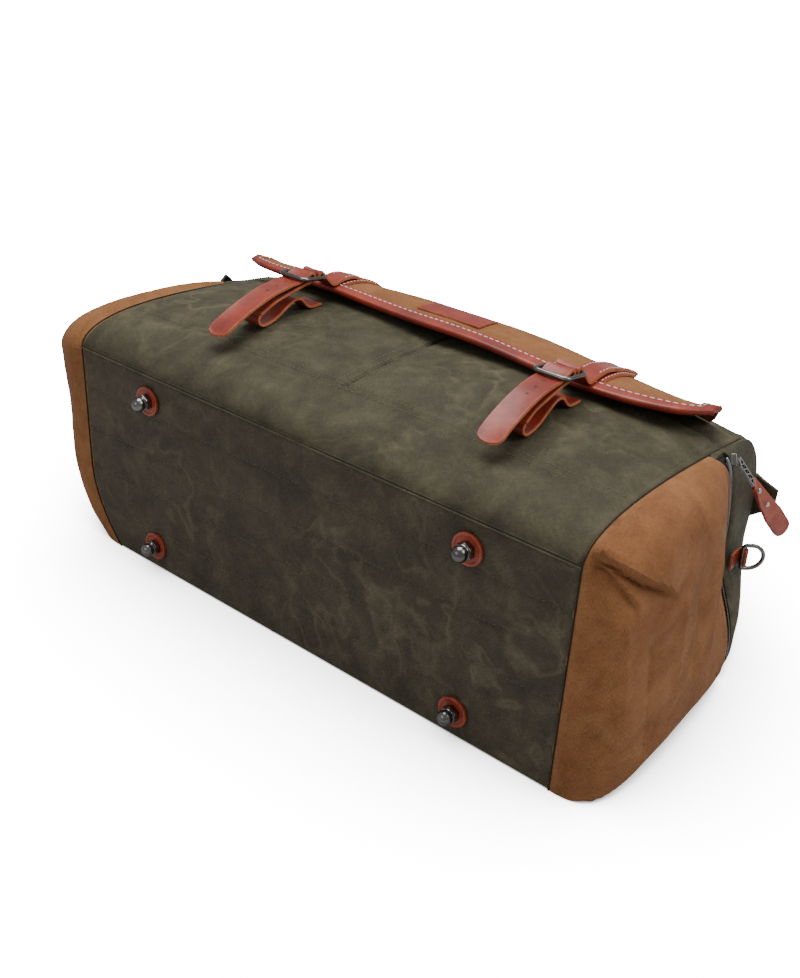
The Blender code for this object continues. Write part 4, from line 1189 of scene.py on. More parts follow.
def make_end_pocket(name, side):
    """The tan end, inside the arch and down to the base."""
    angles = [-180.0 + 360.0 * k / POCKET_RAYS for k in range(POCKET_RAYS + 1)]
    for h, z in SECTION_CORNERS:
        corner = math.degrees(math.atan2(z - ARCH_CENTRE[1], h - ARCH_CENTRE[0]))
        angles[round((corner + 180.0) / 360.0 * POCKET_RAYS)] = corner
    table = rays(side, angles, lambda a: (0.0, arch_rim(a)[0]), RAY_CELLS)
    lengths = [sum((b - a).length for a, b in zip(ray, ray[1:])) for ray in table]
    pocket = cloth(f"{name}_tan_pocket", POCKET_RAYS, RAY_CELLS, from_rays(table), (0.60, 0.13), (side, 0, 0),
                   lambda u, v: (1.0 - v) * lengths[round(u * POCKET_RAYS)])
    edit(pocket, lambda: bpy.ops.mesh.remove_doubles(threshold=0.00002))
    rims = pocket.data.attributes["rim"].data
    for loop, corner in zip(pocket.data.loops, pocket.data.uv_layers[0].data):
        place = pocket.data.vertices[loop.vertex_index].co
        turn = math.atan2(place.z - ARCH_CENTRE[1], place.y + BACK_MID - ARCH_CENTRE[0])
        ray = round((math.degrees(turn) + 180.0) / 360.0 * POCKET_RAYS)
        run = lengths[ray] - rims[loop.vertex_index].value
        corner.uv = (run * math.sin(turn), run * math.cos(turn))
    emboss(pocket, end_relief(side))
    for k, vert in enumerate(pocket.data.vertices):
        vert.co.x -= side * TUCK * math.exp(-rims[k].value / 0.0010)
    round_corner(pocket)
    lines = [arch_line(side, -gap, arch_span(ARCH_SPREAD, 40)) for gap in ARCH_STITCHES]
    rows = sew(f"{name}_arch_stitches", pocket, lines, CANVAS_STITCH)
    thicken(pocket, WALL)
    wear(dress(pocket, TAN), "bag", "tan_canvas", f"{name}_end_pocket")
    wear(dress(rows, TAN_THREAD), "bag", "tan_canvas")


BAND_CELLS = 120
BAND = arch_span(ARCH_SPREAD + 2.0, BAND_CELLS)
TAPE_CELLS = 6
TAPE_SINK = 0.0022
TAPE_T = 0.0012
CHAIN_SHORT = 6.0
CHAIN_SINK = 0.0012


def make_end_zip(name, side):
    """The arched zip along the pocket's rim: its tape and its chain."""
    def span(angle):
        rim, seam = arch_rim(angle)
        return rim, min(rim + ZIP_W, seam)

    table = rays(side, BAND, span, TAPE_CELLS)
    tape = cloth(f"{name}_zip_tape", BAND_CELLS, TAPE_CELLS, from_rays(table), (0.22, ZIP_W), (side, 0, 0))
    emboss(tape, lambda co, rim: -TAPE_SINK)
    round_corner(tape)
    thicken(tape, TAPE_T)
    wear(dress(tape, TAPE), "bag", "zip_tape", f"{name}_end_zip")
    line = arch_line(side, ZIP_W / 2, arch_span(ARCH_SPREAD - CHAIN_SHORT, 60))
    chain = teeth(f"{name}_zip_chain", line, Vector((side, 0.15, 0.0)), -CHAIN_SINK)
    round_corner(chain)
    wear(dress(chain, DARK_METAL), "bag", "zip_tape")


GUSSET_CELLS = 40
GUSSET_LEAST = 0.0004


def make_end_gusset(name, side):
    """The olive canvas behind the arched zip, out to the end seam."""
    def span(angle):
        rim, seam = arch_rim(angle)
        return min(rim + ZIP_W, seam - GUSSET_LEAST), seam

    table = rays(side, BAND, span, GUSSET_CELLS)
    gusset = cloth(f"{name}_gusset_canvas", BAND_CELLS, GUSSET_CELLS, from_rays(table), (0.26, 0.06),
                   (side, 0.5, 0))
    flat_uv(gusset, 2, 1)
    emboss(gusset, lambda co, rim: seam_roll(rim, 0.0010) + ripple(co, 9 + side, SOFT) * smooth(rim / 0.015))
    round_corner(gusset)
    thicken(gusset, WALL)
    wear(dress(gusset, OLIVE), "bag", "green_canvas", f"{name}_end_gusset")


TOOTH_PITCH = 0.0023


def make_tooth(size, aside=0.0):
    tooth = basic(bpy.ops.mesh.primitive_cube_add, "tooth", size=1.0, location=(0, aside, 0))
    tooth.scale = size
    settle(tooth)
    finish_with(tooth, "BEVEL", width=0.00022, segments=1)
    return tooth


def teeth(name, line, out, sink):
    """A zip's chain: small teeth from both sides, meshed along a line."""
    places = []
    for k, (spot, along) in enumerate(even(line, TOOTH_PITCH / 2)):
        matrix = turn_to(spot + out.normalized() * sink, along, out)
        places.append(matrix if k % 2 else matrix @ Matrix.Rotation(math.pi, 4, "Z"))
    return repeat(name, make_tooth((0.0011, 0.0030, 0.0016), 0.0009), places)


# Front pocket halves
POCKET_SINK = 0.0024
MIDDLE_SINK = 0.0012


def pocket_place(side, across, up):
    x = side * across * POCKET_HALF
    h = lerp(POCKET_LOW, POCKET_HIGH, up)
    room = POCKET_ROOM * math.sin(math.pi * across) ** 0.6 * smooth(up / 0.45)
    return at(x, h, front_height(x, h) + 0.0007 + POCKET_T + room)


def sewn_pocket_place(side, across, up):
    """The pocket's outside, with its sewn rims drawn down into the front panel."""
    to_rim = min(up * (POCKET_HIGH - POCKET_LOW), (1.0 - across) * POCKET_HALF)
    sink = POCKET_SINK * (1.0 - smooth(to_rim / 0.012))
    sink += MIDDLE_SINK * (1.0 - smooth(across * POCKET_HALF / 0.004))
    return pocket_place(side, across, up) - Vector((0.0, 0.0, sink))


def make_pockets():
    for name, side in SIDES:
        piece = cloth(f"{name}_pocket_canvas", 110, 70, lambda u, v, s=side: sewn_pocket_place(s, u, v),
                      (POCKET_HALF, 0.145), (0, 0, 1))
        relief = ((0.0011, 11.0), (0.0005, 30.0), (0.0002, 80.0))
        emboss(piece, lambda co, rim, s=side: seam_roll(rim, 0.0008)
               + ripple(co, 14 + s, relief) * smooth(rim / 0.02))
        lines = []
        for gap in (0.003, 0.009):
            foot = gap / (POCKET_HIGH - POCKET_LOW)
            lines.append([pocket_place(side, k / 40, foot) for k in range(41)])
            lines.append([pocket_place(side, gap / POCKET_HALF, k / 30) for k in range(31)])
        rows = sew(f"{name}_pocket_stitches", piece, lines, POCKET_STITCH)
        thicken(piece, POCKET_T)
        wear(dress(piece, OLIVE), "bag", "green_canvas", f"{name}_front_pocket")
        wear(dress(rows, OLIVE_THREAD), "bag", "green_canvas")


# The flap
FLAP_HALF = 0.245
FLAP_ROOT_HALF = 0.224
FLAP_SEAM = 0.003
FLAP_EDGE_H = 0.1815
FLAP_CORNER_H = 0.2065
FLAP_TILT = 0.055
FLAP_EDGE_Z = 0.2185
FLAP_EDGE_DROP = 0.007
FLAP_LIFT = 0.0180
FLAP_END_LIFT = 0.0130
FLAP_EDGE_LIFT = 0.0040
FLAP_T = 0.0024
FLAP_CORNER = 0.007
BINDING_W = 0.012
BINDING_T = 0.0012
FLAP_LEN = 0.098


def flap_curve(u):
    x = u * FLAP_ROOT_HALF
    h = front_curve(x)[3][0] - FLAP_SEAM
    root = (h, front_height(x, h) + 0.0017)
    edge_h = lerp(FLAP_EDGE_H - FLAP_TILT * u * FLAP_HALF, FLAP_CORNER_H, abs(u) ** 6)
    edge = (edge_h, FLAP_EDGE_Z - FLAP_EDGE_DROP * u * u + 0.0010 * math.sin(u * 9.0))
    reach = root[0] - edge[0]
    first = (root[0] - 0.20 * reach, root[1] + lerp(FLAP_LIFT, FLAP_END_LIFT, u * u))
    second = (edge[0] + 0.35 * reach, edge[1] + FLAP_EDGE_LIFT)
    return root, first, second, edge


def flap_place(u, v, lift=0.0):
    """A point over the flap: u from end to end (-1 to 1), v from its root to its edge."""
    curve = flap_curve(u)
    h, z = bezier(curve, v)
    h0, z0 = bezier(curve, max(v - 0.01, 0.0))
    h1, z1 = bezier(curve, min(v + 0.01, 1.0))
    length = math.hypot(h1 - h0, z1 - z0)
    rounding = FLAP_CORNER * smooth((abs(u) - 0.88) / 0.12) * smooth((v - 0.70) / 0.30)
    x = u * (lerp(FLAP_ROOT_HALF, FLAP_HALF, v) - rounding)
    return at(x, h + lift * (z1 - z0) / length, z - lift * (h1 - h0) / length)


PATCH_W = 0.068
PATCH_L = 0.030
PATCH_V = (0.50, 0.80)
FLAP_RIPPLE = ((0.0009, 16.0), (0.0002, 80.0))


def cut_leather(piece, thickness, offset=-1.0):
    """Give a sheet of leather its thickness, with pale cut edges."""
    dress(piece, RED_LEATHER, CUT_EDGE)
    thicken(piece, thickness, offset, 1)


def make_flap():
    flap = cloth("flap_canvas", 180, 50, lambda u, v: flap_place(u * 2 - 1, v), (2 * FLAP_HALF, FLAP_LEN),
                 (0, 0, 1))
    emboss(flap, lambda co, rim: ripple(co, 21, FLAP_RIPPLE) * smooth(rim / 0.02))
    thicken(flap, FLAP_T, 0.0)
    wear(dress(flap, TAN), "flap", "tan_canvas", "flap")
    make_binding()
    over = FLAP_T / 2 + BINDING_T + 0.0006
    half = PATCH_W / 2 / FLAP_HALF

    def place(u, v):
        return flap_place(lerp(-half, half, u), lerp(*PATCH_V, v), over)

    patch = cloth("leather_patch", 40, 20, place, (PATCH_W, PATCH_L), (0, 0, 1))
    cut_leather(patch, BINDING_T)
    wear(patch, "flap", "leather", "flap_patch")


BINDING_V = 0.87
BINDING_FOLD = 0.6
BINDING_SEAM = 0.28


def binding_rails():
    """The binding's outer and inner line, up one side, along the edge and down the other."""
    du = BINDING_W / FLAP_HALF
    rails = []
    for k in range(24):
        v = lerp(0.14, 0.96, k / 24)
        rails.append(((-1.0, v), (-1.0 + du, min(v, BINDING_V))))
    for k in range(161):
        u = -1.0 + 2.0 * k / 160
        inner = min(max(u, -1.0 + du), 1.0 - du)
        rails.append(((u, 1.0), (inner, BINDING_V)))
    for k in range(24):
        v = lerp(0.96, 0.14, k / 23)
        rails.append(((1.0, v), (1.0 - du, min(v, BINDING_V))))
    return rails


def make_binding():
    """The leather binding, folded over the flap's rim."""
    rails = binding_rails()
    last = len(rails) - 1
    top = FLAP_T / 2 + BINDING_T + 0.0003

    def place(u, v):
        (u0, v0), (u1, v1) = rails[round(u * last)]
        if v <= BINDING_FOLD:
            t = v / BINDING_FOLD
            return flap_place(lerp(u1, u0, t), lerp(v1, v0, t), top)
        turn = (v - BINDING_FOLD) / (1.0 - BINDING_FOLD) * math.pi
        spot = flap_place(u0, v0, top * math.cos(turn))
        away = (flap_place(u0, v0) - flap_place(u1, v1)).normalized()
        return spot + away * 0.0016 * math.sin(turn)

    piece = cloth("flap_edge_leather", last, 10, place, (0.70, 0.020), (0, -0.3, 1))
    cut_leather(piece, BINDING_T)
    wear(piece, "flap", "leather", "flap_binding")
    line = []
    for (u0, v0), (u1, v1) in rails:
        line.append(flap_place(lerp(u1, u0, BINDING_SEAM), lerp(v1, v0, BINDING_SEAM), top))
    rows = sew("flap_stitches", piece, [line], BINDING_STITCH)
    wear(dress(rows, WHITE_THREAD), "flap", "leather")


# Straps and buckles
STRAP_X = 0.135
STRAP_SHIFT = 0.009
STRAP_W = 0.0215
STRAP_T = 0.0024
STRAP_TIP = 0.0085
FLAP_STRAP_W = STRAP_W - 0.0015
STRAP_ROOM = 0.0016
STRAP_CLEAR = 0.0014
STRAP_TIP_H = 0.0545
BUCKLE_W = 0.0290
BUCKLE_WIRE = 0.0016
BUCKLE_FAR = (0.157, 0.2360)
BUCKLE_MIDDLE = (0.1445, 0.2385)
BUCKLE_NEAR = (0.131, 0.2415)
LEFT_BUCKLE_UP = 0.015
LEFT_ROOT_UP = 0.010
LOOP_R = BUCKLE_WIRE + GAP + STRAP_T / 2
CHAPE_W = 0.0285
CHAPE_T = 0.0016
CHAPE_V = (0.10, 0.86)


def ring_points(centre, radius, angles):
    return [(centre[0] + radius * math.cos(math.radians(a)), centre[1] + radius * math.sin(math.radians(a)))
            for a in angles]


def on_path(points, steps):
    return [(v.x, v.y) for v in curve_through([(h, z, 0.0) for h, z in points], steps)]


LEATHER_EDGE = 0.0004


def round_edges(piece, width):
    finish_with(piece, "BEVEL", width=width, segments=2, limit_method="ANGLE", angle_limit=math.radians(60))


def strap(name, path, x, width, thickness, tip=0.0):
    """A leather strap along a path of (h, z) points, with a rounded tip at its end."""
    run = [0.0]
    for a, b in zip(path, path[1:]):
        run.append(run[-1] + math.hypot(b[0] - a[0], b[1] - a[1]))
    last = len(path) - 1

    def place(u, v):
        k = round(v * last)
        half = width / 2
        left = run[-1] - run[k]
        if left < tip:
            half *= 0.45 + 0.55 * math.sqrt(max(1.0 - (1.0 - left / tip) ** 2, 0.0))
        across = (u * 2 - 1) * half
        h, z = path[k]
        cup = 0.0007 * ((u * 2 - 1) ** 2 - 0.4)
        return at(x + across, h, z + cup)

    piece = cloth(name, 14, last, place, (width, run[-1]), (0, 0, 1))
    cut_leather(piece, thickness, 0.0)
    round_edges(piece, LEATHER_EDGE)
    smooth_by(piece, 40)
    return piece


def buckle_bars(side):
    """The buckle's far, middle and near bar, as (h, z)."""
    up = Vector((LEFT_BUCKLE_UP if side < 0 else 0.0, 0.0))
    return [Vector(bar) + up for bar in (BUCKLE_FAR, BUCKLE_MIDDLE, BUCKLE_NEAR)]


def flap_strap_path(x, far):
    over = []
    for v in (0.12, 0.25, 0.4, 0.55, 0.7, 0.85, 1.0):
        u = x / lerp(FLAP_ROOT_HALF, FLAP_HALF, v)
        lift = FLAP_T / 2 + STRAP_CLEAR + STRAP_T / 2 + (BINDING_T + 0.0006) * smooth((v - 0.5) / 0.2)
        point = flap_place(u, v, lift)
        over.append((point.y + BACK_MID, point.z))
    climb = [(lerp(over[-1][0], far.x, 0.45), lerp(over[-1][1], far.y, 0.5))]
    return on_path(over + climb + ring_points(far, LOOP_R, (50, 90, 135, 180, 225, 270)), 6)


def strap_path(middle, near, root_end):
    """A strap's way: up from its root, over the middle bar, under the near bar and out."""
    around = BUCKLE_WIRE + GAP + 0.0003 + STRAP_T / 2
    under = near.y - around
    rise = root_end.lerp(Vector((near.x, under - STRAP_T - STRAP_ROOM)), 0.5)
    out = [(near.x - 0.010, under + 0.0002)]
    for share, drop in ((0.35, 0.0013), (0.60, 0.0062), (0.82, 0.0125), (1.0, 0.0195)):
        out.append((lerp(near.x, STRAP_TIP_H, share), under - drop))
    climb = [root_end + Vector((0.0007, 0.0007)), (rise.x - 0.010, rise.y + 0.0002),
             (rise.x, rise.y + 0.0022), (near.x, under - STRAP_T - STRAP_ROOM),
             (middle.x - 0.005, middle.y - around - 0.0004)]
    over = ring_points(middle, around, (270, 315, 0, 45, 90))
    down = [(near.x + 0.006, lerp(middle.y + around, under, 0.6)), (near.x, under)]
    return on_path(climb + over + down + out, 8)


def pocket_rest(x, h):
    up = (h - POCKET_LOW) / (POCKET_HIGH - POCKET_LOW)
    edges = [(abs(x) + k * STRAP_W / 2) / POCKET_HALF for k in (-1, 1)]
    return max(pocket_place(1, across, up).z for across in edges) + 0.0005 + STRAP_T / 2


# A strap's root: heights above the base, each with its lift off the pocket, then its turn upwards
ROOT_LIFTS = ((0.160, 0.0), (0.148, 0.0), (0.142, 0.0027), (0.135, 0.0097), (0.127, 0.0104), (0.116, 0.0057),
              (0.106, 0.0013), (0.097, 0.0), (0.0895, 0.0010))
ROOT_TURN = ((0.0043, 0.0030), (0.0047, 0.0065), (0.0025, 0.0095))


def root_points(x, up):
    path = [(h + up, pocket_rest(x, h + up) + lift) for h, lift in ROOT_LIFTS]
    low_h, low_z = path[-1]
    return path + [(low_h - back, low_z + rise) for back, rise in ROOT_TURN]


def round_rectangle(half_w, half_l, corner, steps=6):
    points = []
    for cx, cy, start in ((1, 1, 0), (-1, 1, 90), (-1, -1, 180), (1, -1, 270)):
        for k in range(steps + 1):
            a = math.radians(start + 90.0 * k / steps)
            points.append((cx * (half_w - corner) + corner * math.cos(a),
                           cy * (half_l - corner) + corner * math.sin(a)))
    return points


def make_buckle(name, x, far, middle, near):
    length = (near - far).length
    points = []
    for across, along in round_rectangle(BUCKLE_W / 2, length / 2, 0.0045):
        points.append(at(x + across, *far.lerp(near, (length / 2 + along) / length)))
    rim = wire("rim", points, BUCKLE_WIRE + 0.0003, True)
    bar = wire("bar", [at(x + k * BUCKLE_W / 2, *middle) for k in (-1, 1)], BUCKLE_WIRE - 0.0002)
    return join(name, rim, bar)


def edge_lines(path, x, width, inset, lift):
    lines = []
    for k in (-1, 1):
        lines.append([at(x + k * (width / 2 - inset), h, z + lift) for h, z in path])
    return lines


def hole_shade_discs(name, carrier, x, near):
    """Dark discs of painted shade on the strap where its punched holes are, below the buckle; the holes
    themselves are not cut.
    """
    disc = basic(bpy.ops.mesh.primitive_cylinder_add, "disc", vertices=16, radius=0.0012, depth=0.0004)
    places = []
    for step in range(3):
        start = at(x, near.x - 0.0075 - 0.012 * step, near.y + 0.01)
        _, spot, normal, _ = carrier.closest_point_on_mesh(start)
        places.append(turn_to(spot - normal * 0.00012, Vector((1, 0, 0)), normal))
    return repeat(name, disc, places)


def make_chape(name, x):
    """The leather sewn to the flap under a strap, pointed at its far end."""
    def place(u, v):
        along = lerp(CHAPE_V[0], CHAPE_V[1], v)
        half = CHAPE_W / 2 * (0.55 + 0.45 * smooth(v / 0.22))
        spot = x + (u * 2 - 1) * half
        return flap_place(spot / lerp(FLAP_ROOT_HALF, FLAP_HALF, along), along, FLAP_T / 2 + 0.0018)

    piece = cloth(f"{name}_chape", 12, 40, place, (CHAPE_W, 0.075), (0, 0, 1))
    lines = []
    for u in (0.09, 0.91):
        lines.append([place(u, k / 40) for k in range(41)])
    rows = sew(f"{name}_chape_stitches", piece, lines, STRAP_STITCH)
    cut_leather(piece, CHAPE_T)
    wear(piece, "flap", "leather")
    wear(dress(rows, WHITE_THREAD), "flap", "leather")


def make_closures():
    for name, side in SIDES:
        x = STRAP_SHIFT + side * STRAP_X
        make_chape(name, x)
        far, middle, near = buckle_bars(side)
        path = flap_strap_path(x, far)
        over = strap(f"{name}_flap_leather", path, x, FLAP_STRAP_W, STRAP_T)
        lines = edge_lines(path[:30], x, FLAP_STRAP_W, 0.0026, 0.0015)
        rows = sew(f"{name}_flap_leather_stitches", over, lines, STRAP_STITCH)
        wear(over, "flap", "leather", f"{name}_flap_strap")
        wear(dress(rows, WHITE_THREAD), "flap", "leather")
        rim = make_buckle(f"{name}_buckle_frame", x, far, middle, near)
        wear(dress(rim, DARK_METAL), f"{name}_buckle", "metal", f"{name}_buckle")
        root = root_points(x, LEFT_ROOT_UP if side < 0 else 0.0)
        foot = strap(f"{name}_strap_root_leather", on_path(root, 6), x, STRAP_W, STRAP_T)
        wear(foot, "bag", "leather", f"{name}_strap_root")
        path = strap_path(middle, near, Vector(root[-1]))
        loose = strap(f"{name}_strap_leather", path, x, STRAP_W, STRAP_T, STRAP_TIP)
        wear(loose, f"{name}_buckle", "leather", f"{name}_strap")
        # dark discs of painted shade stand for the insides of the punched holes
        hole_shades = hole_shade_discs(f"{name}_hole_shade_discs", loose, x, near)
        wear(dress(hole_shades, BOARD), f"{name}_buckle", "leather")


# The main zip
SLIDER_X = 0.222
SLIDER_LEN = 0.011
SLIDER_W = 0.0085
SLIDER_T = 0.0040
PULL_LEN = 0.040
PULL_W = 0.0085
PULL_T = 0.0018
PULL_CELLS = 4
PULL_RIM = 0.0014
PULL_WEB = 0.0008
HIDE_LAP = 0.007
HIDE_START = PULL_LEN - HIDE_LAP
HIDE_LEN = 0.068 + HIDE_LAP
HIDE_W = 0.016
HIDE_T = 0.0034
STUD_R = 0.0021
STUDS = (HIDE_START + 0.010, HIDE_START + 0.030)
TWIST_RUN = 0.016
MAIN_TAPE_HALF = 0.2485
MAIN_TAPE_T = 0.0014
MAIN_CHAIN_HALF = 0.246


def make_main_tape(name, sign, body):
    """One half of the main zip: its tape and its row of teeth."""
    low, high = sorted((RIDGE_Z + sign * 0.0002, RIDGE_Z + sign * ZIP_W / 2))

    def place(u, v):
        return at(lerp(-MAIN_TAPE_HALF, MAIN_TAPE_HALF, u), RIDGE_H - 0.0008, lerp(low, high, v))

    tape = cloth(f"{name}_zip_tape", 120, 4, place, (2 * MAIN_TAPE_HALF, ZIP_W / 2), (0, 1, 0))
    thicken(tape, MAIN_TAPE_T)
    wear(dress(tape, TAPE), body, "zip_tape", f"{name}_zip_teeth")
    line = []
    for k in range(41):
        x = lerp(-MAIN_CHAIN_HALF, MAIN_CHAIN_HALF, k / 40)
        line.append(at(x, RIDGE_H - 0.0002, RIDGE_Z + sign * 0.0012))
    chain = teeth_row(f"{name}_zip_chain", line, sign)
    wear(dress(chain, DARK_METAL), body, "zip_tape")


def make_main_zip():
    make_main_tape("front", 1, "front_lip")
    make_main_tape("back", -1, "bag")
    along, out = Vector((-1, 0, 0)), Vector((0, 1, 0))
    slider = make_slider("main_slider_body")
    put(slider, turn_to(at(SLIDER_X, RIDGE_H + GAP + SLIDER_T / 2, RIDGE_Z), along, out))
    wear(dress(slider, DARK_METAL), "main_slider", "metal", "main_zip_slider")
    bail = at(SLIDER_X, RIDGE_H + 2 * GAP + SLIDER_T + PULL_T / 2, RIDGE_Z)
    make_pull("main", turn_to(bail, along, out), "main_pull", "main_zip_pull", "main_pull_leather")


def teeth_row(name, line, sign):
    """One side of the main zip's teeth."""
    shift = Vector((TOOTH_PITCH / 4 * sign, 0, 0))
    places = [Matrix.Translation(spot + shift) for spot, _ in even(line, TOOTH_PITCH)]
    return repeat(name, make_tooth((0.0011, 0.0016, 0.0020)), places)


def make_slider(name):
    """A zip slider along its own X, narrower and flatter towards its nose."""
    body = basic(bpy.ops.mesh.primitive_cube_add, "slider_body", size=1.0)
    body.scale = (SLIDER_LEN, SLIDER_W, SLIDER_T)
    settle(body)
    edit(body, lambda: bpy.ops.mesh.subdivide(number_cuts=4))
    for vert in body.data.vertices:
        share = vert.co.x / (SLIDER_LEN / 2)
        vert.co.y *= 0.72 + 0.28 * smooth((0.9 - share) / 1.2)
        vert.co.z *= 1.0 - 0.25 * max(share, 0.0) ** 2
    finish_with(body, "BEVEL", width=0.0006, segments=2, limit_method="ANGLE", angle_limit=math.radians(40))
    body.name = name
    smooth_by(body, 40)
    return body


def plate(name, outline_points, thickness):
    """A flat plate from an outline in its own X and Y."""
    piece = basic(bpy.ops.mesh.primitive_circle_add, name, vertices=len(outline_points), radius=1.0,
                  fill_type="NGON")
    for vert, (x, y) in zip(piece.data.vertices, outline_points):
        vert.co = (x, y, -thickness / 2)
    raised = {"value": (0, 0, thickness)}
    edit(piece, lambda: bpy.ops.mesh.extrude_region_move(TRANSFORM_OT_translate=raised))
    edit(piece, lambda: bpy.ops.mesh.normals_make_consistent(inside=False))
    return piece


def twirl(piece, degrees):
    """Twist a piece about its own X, from the hide's start to a little way along it."""
    for vert in piece.data.vertices:
        share = smooth((vert.co.x - HIDE_START) / TWIST_RUN)
        vert.co = Matrix.Rotation(math.radians(degrees * share), 3, "X") @ vert.co
    piece.data.update()


def make_pull_bar(name):
    """A pull's openwork metal bar along its own X, with three-cornered windows."""
    half = PULL_W / 2
    rim = [(0.0, -half * 0.7), (0.0012, -half), (PULL_LEN, -half)]
    bar = plate(name, rim + [(x, -y) for x, y in reversed(rim)], PULL_T)
    inner = half - PULL_RIM
    step = (PULL_LEN - 0.012) / PULL_CELLS
    for k in range(PULL_CELLS):
        low = 0.0022 + k * step
        for flip in (1, -1):
            tip = low + (step - PULL_WEB) * (0.5 + 0.5 * flip)
            base = low + (step - PULL_WEB) * (0.5 - 0.5 * flip)
            corners = [(tip, -inner * flip), (tip, inner * flip * 0.6), (base, -inner * flip)]
            hole = plate("hole", corners[::flip], 0.01)
            finish_with(bar, "BOOLEAN", operation="DIFFERENCE", object=hole)
            bpy.data.objects.remove(hole)
    finish_with(bar, "BEVEL", width=0.0002, segments=1, limit_method="ANGLE")
    return bar


def make_pull_hide(name):
    """The leather over a pull's end, wider and round towards its tip."""
    wide = HIDE_W / 2
    shape = [(HIDE_START, -wide * 0.72), (HIDE_START + HIDE_LEN * 0.35, -wide * 0.72),
             (HIDE_START + HIDE_LEN * 0.62, -wide)]
    other = [(x, -y) for x, y in reversed(shape)]
    shape += ring_points((HIDE_START + HIDE_LEN - wide, 0.0), wide, range(-80, 81, 20))
    hide = plate(name, shape + other, HIDE_T)
    select_faces(hide, lambda f: abs(f.normal.z) > 0.9)
    bpy.ops.object.mode_set(mode="EDIT")
    bpy.ops.mesh.inset(thickness=0.0014)
    bpy.ops.mesh.inset(thickness=0.0006)
    bpy.ops.object.mode_set(mode="OBJECT")
    finish_with(hide, "BEVEL", width=0.0005, segments=3, limit_method="ANGLE")
    smooth_by(hide, 40)
    return hide


def make_pull_rivets(name):
    studs = []
    for along in STUDS:
        stud = basic(bpy.ops.mesh.primitive_uv_sphere_add, "stud", segments=20, ring_count=10, radius=STUD_R,
                     location=(along, 0, HIDE_T / 2))
        stud.scale = (1, 1, 0.5)
        settle(stud)
        studs.append(stud)
    rivets = join(name, *studs)
    smooth_by(rivets, 60)
    return rivets


def make_pull(name, matrix, body, metal_node, leather_node, twist=0.0):
    """A zip pull: a metal bar, and leather folded over its end with two rivets."""
    bar = put(make_pull_bar(f"{name}_pull_bar"), matrix)
    wear(dress(bar, DARK_METAL), body, "metal", metal_node)
    hide = make_pull_hide(f"{name}_pull_hide")
    twirl(hide, twist)
    put(hide, matrix)
    wear(dress(hide, RED_LEATHER), body, "leather", leather_node)
    rivets = make_pull_rivets(f"{name}_pull_rivets")
    twirl(rivets, twist)
    put(rivets, matrix)
    wear(dress(rivets, BRIGHT_METAL), body, "metal")


# Carry handles
HANDLE_R = 0.0070
HANDLE_DROP = 0.115
HANDLE_SLANT = 38.0
HANDLE_CLEAR = 0.044
HANDLE_BEND = 0.005
HANDLE_ROUND = 0.45
FRONT_HANDLE_HALF = 0.080
BACK_HANDLE_HALF = 0.106
LOOP_W = 0.0125
LOOP_T = 0.0016
LOOP_REACH = 0.017
FRONT_TAB_Z = 0.155
BACK_TAB_Z = 0.052
TAB_W = 0.017
TAB_T = 0.0022
TAB_LEN = 0.020
RING_R = 0.0110
RING_HALF = 0.0140
RING_CORNER = 0.0045
RING_WIRE = 0.0017
HOOK_R = RING_WIRE + GAP + TAB_T / 2
TAB_SEAT = GAP * 2 + TAB_T / 2


def hang_down(h, z, d):
    """Out along a slant, then round a soft bend and straight down."""
    slant = math.radians(HANDLE_SLANT)
    over = (d - HANDLE_CLEAR) / HANDLE_BEND
    past = HANDLE_BEND * math.log1p(math.exp(over)) if over < 30.0 else d - HANDLE_CLEAR
    out = d - past
    return h + out * math.sin(slant), z - out * math.cos(slant) - past


def lie_out(h, z, d):
    fall = (z - HANDLE_R - GAP) / HANDLE_DROP
    return h + d * math.sqrt(1.0 - fall * fall), z - d * fall


def make_handle_loop(name, body, x, hook, way):
    """The leather that ties a handle's end to its ring: round the ring's far bar and back along the roll."""
    centre = Vector(way(*hook, 2 * RING_R))
    along = (Vector(way(*hook, 2 * RING_R + HANDLE_R)) - centre).normalized()
    across = Vector((-along.y, along.x))
    around = RING_WIRE + GAP + LOOP_T / 2
    on_roll = HANDLE_R + GAP + LOOP_T / 2
    near = RING_WIRE + HANDLE_R
    half_way = [(near + LOOP_REACH, on_roll), (near + LOOP_REACH / 2, on_roll),
                (near + 0.001, on_roll - 0.0006)]
    half_way += ring_points((0.0, 0.0), around, (62, 100, 140))
    flat = half_way + [(-around, 0.0)] + [(a, -b) for a, b in reversed(half_way)]
    path = [tuple(centre + along * a + across * b) for a, b in flat]
    loop = strap(f"{name}_loop_leather", on_path(path, 5), x, LOOP_W, LOOP_T)
    wear(loop, body, "leather")


def make_handle_end(name, side_name, x, hook, way, fall, tab_body):
    """A handle's tab, ring and loop at one of its ends."""
    z = hook[1]
    sewn = []
    for share in (1.0, 0.7, 0.4):
        below = z - fall * TAB_LEN * share
        sewn.append((top_height(x, below) + TAB_SEAT + 0.0004, below))
    turns = (180, 225, 270, 315, 360, 400) if fall < 0 else (180, 135, 90, 45, 0, -40)
    path = on_path(sewn + ring_points(hook, HOOK_R, turns), 6)
    tab = strap(f"{name}_{side_name}_tab_leather", path, x, TAB_W, TAB_T)
    wear(tab, tab_body, "leather", f"{name}_{side_name}_tab")
    start = at(x, *hook)
    along = (at(x, *way(*hook, RING_R)) - start).normalized()
    points = [start + along * (RING_R + v) + Vector((u, 0, 0))
              for u, v in round_rectangle(RING_HALF, RING_R, RING_CORNER)]
    ring = wire(f"{name}_{side_name}_ring_wire", points, RING_WIRE, True)
    wear(dress(ring, DARK_METAL), name, "metal", f"{name}_{side_name}_ring")
    make_handle_loop(f"{name}_{side_name}", name, x, hook, way)


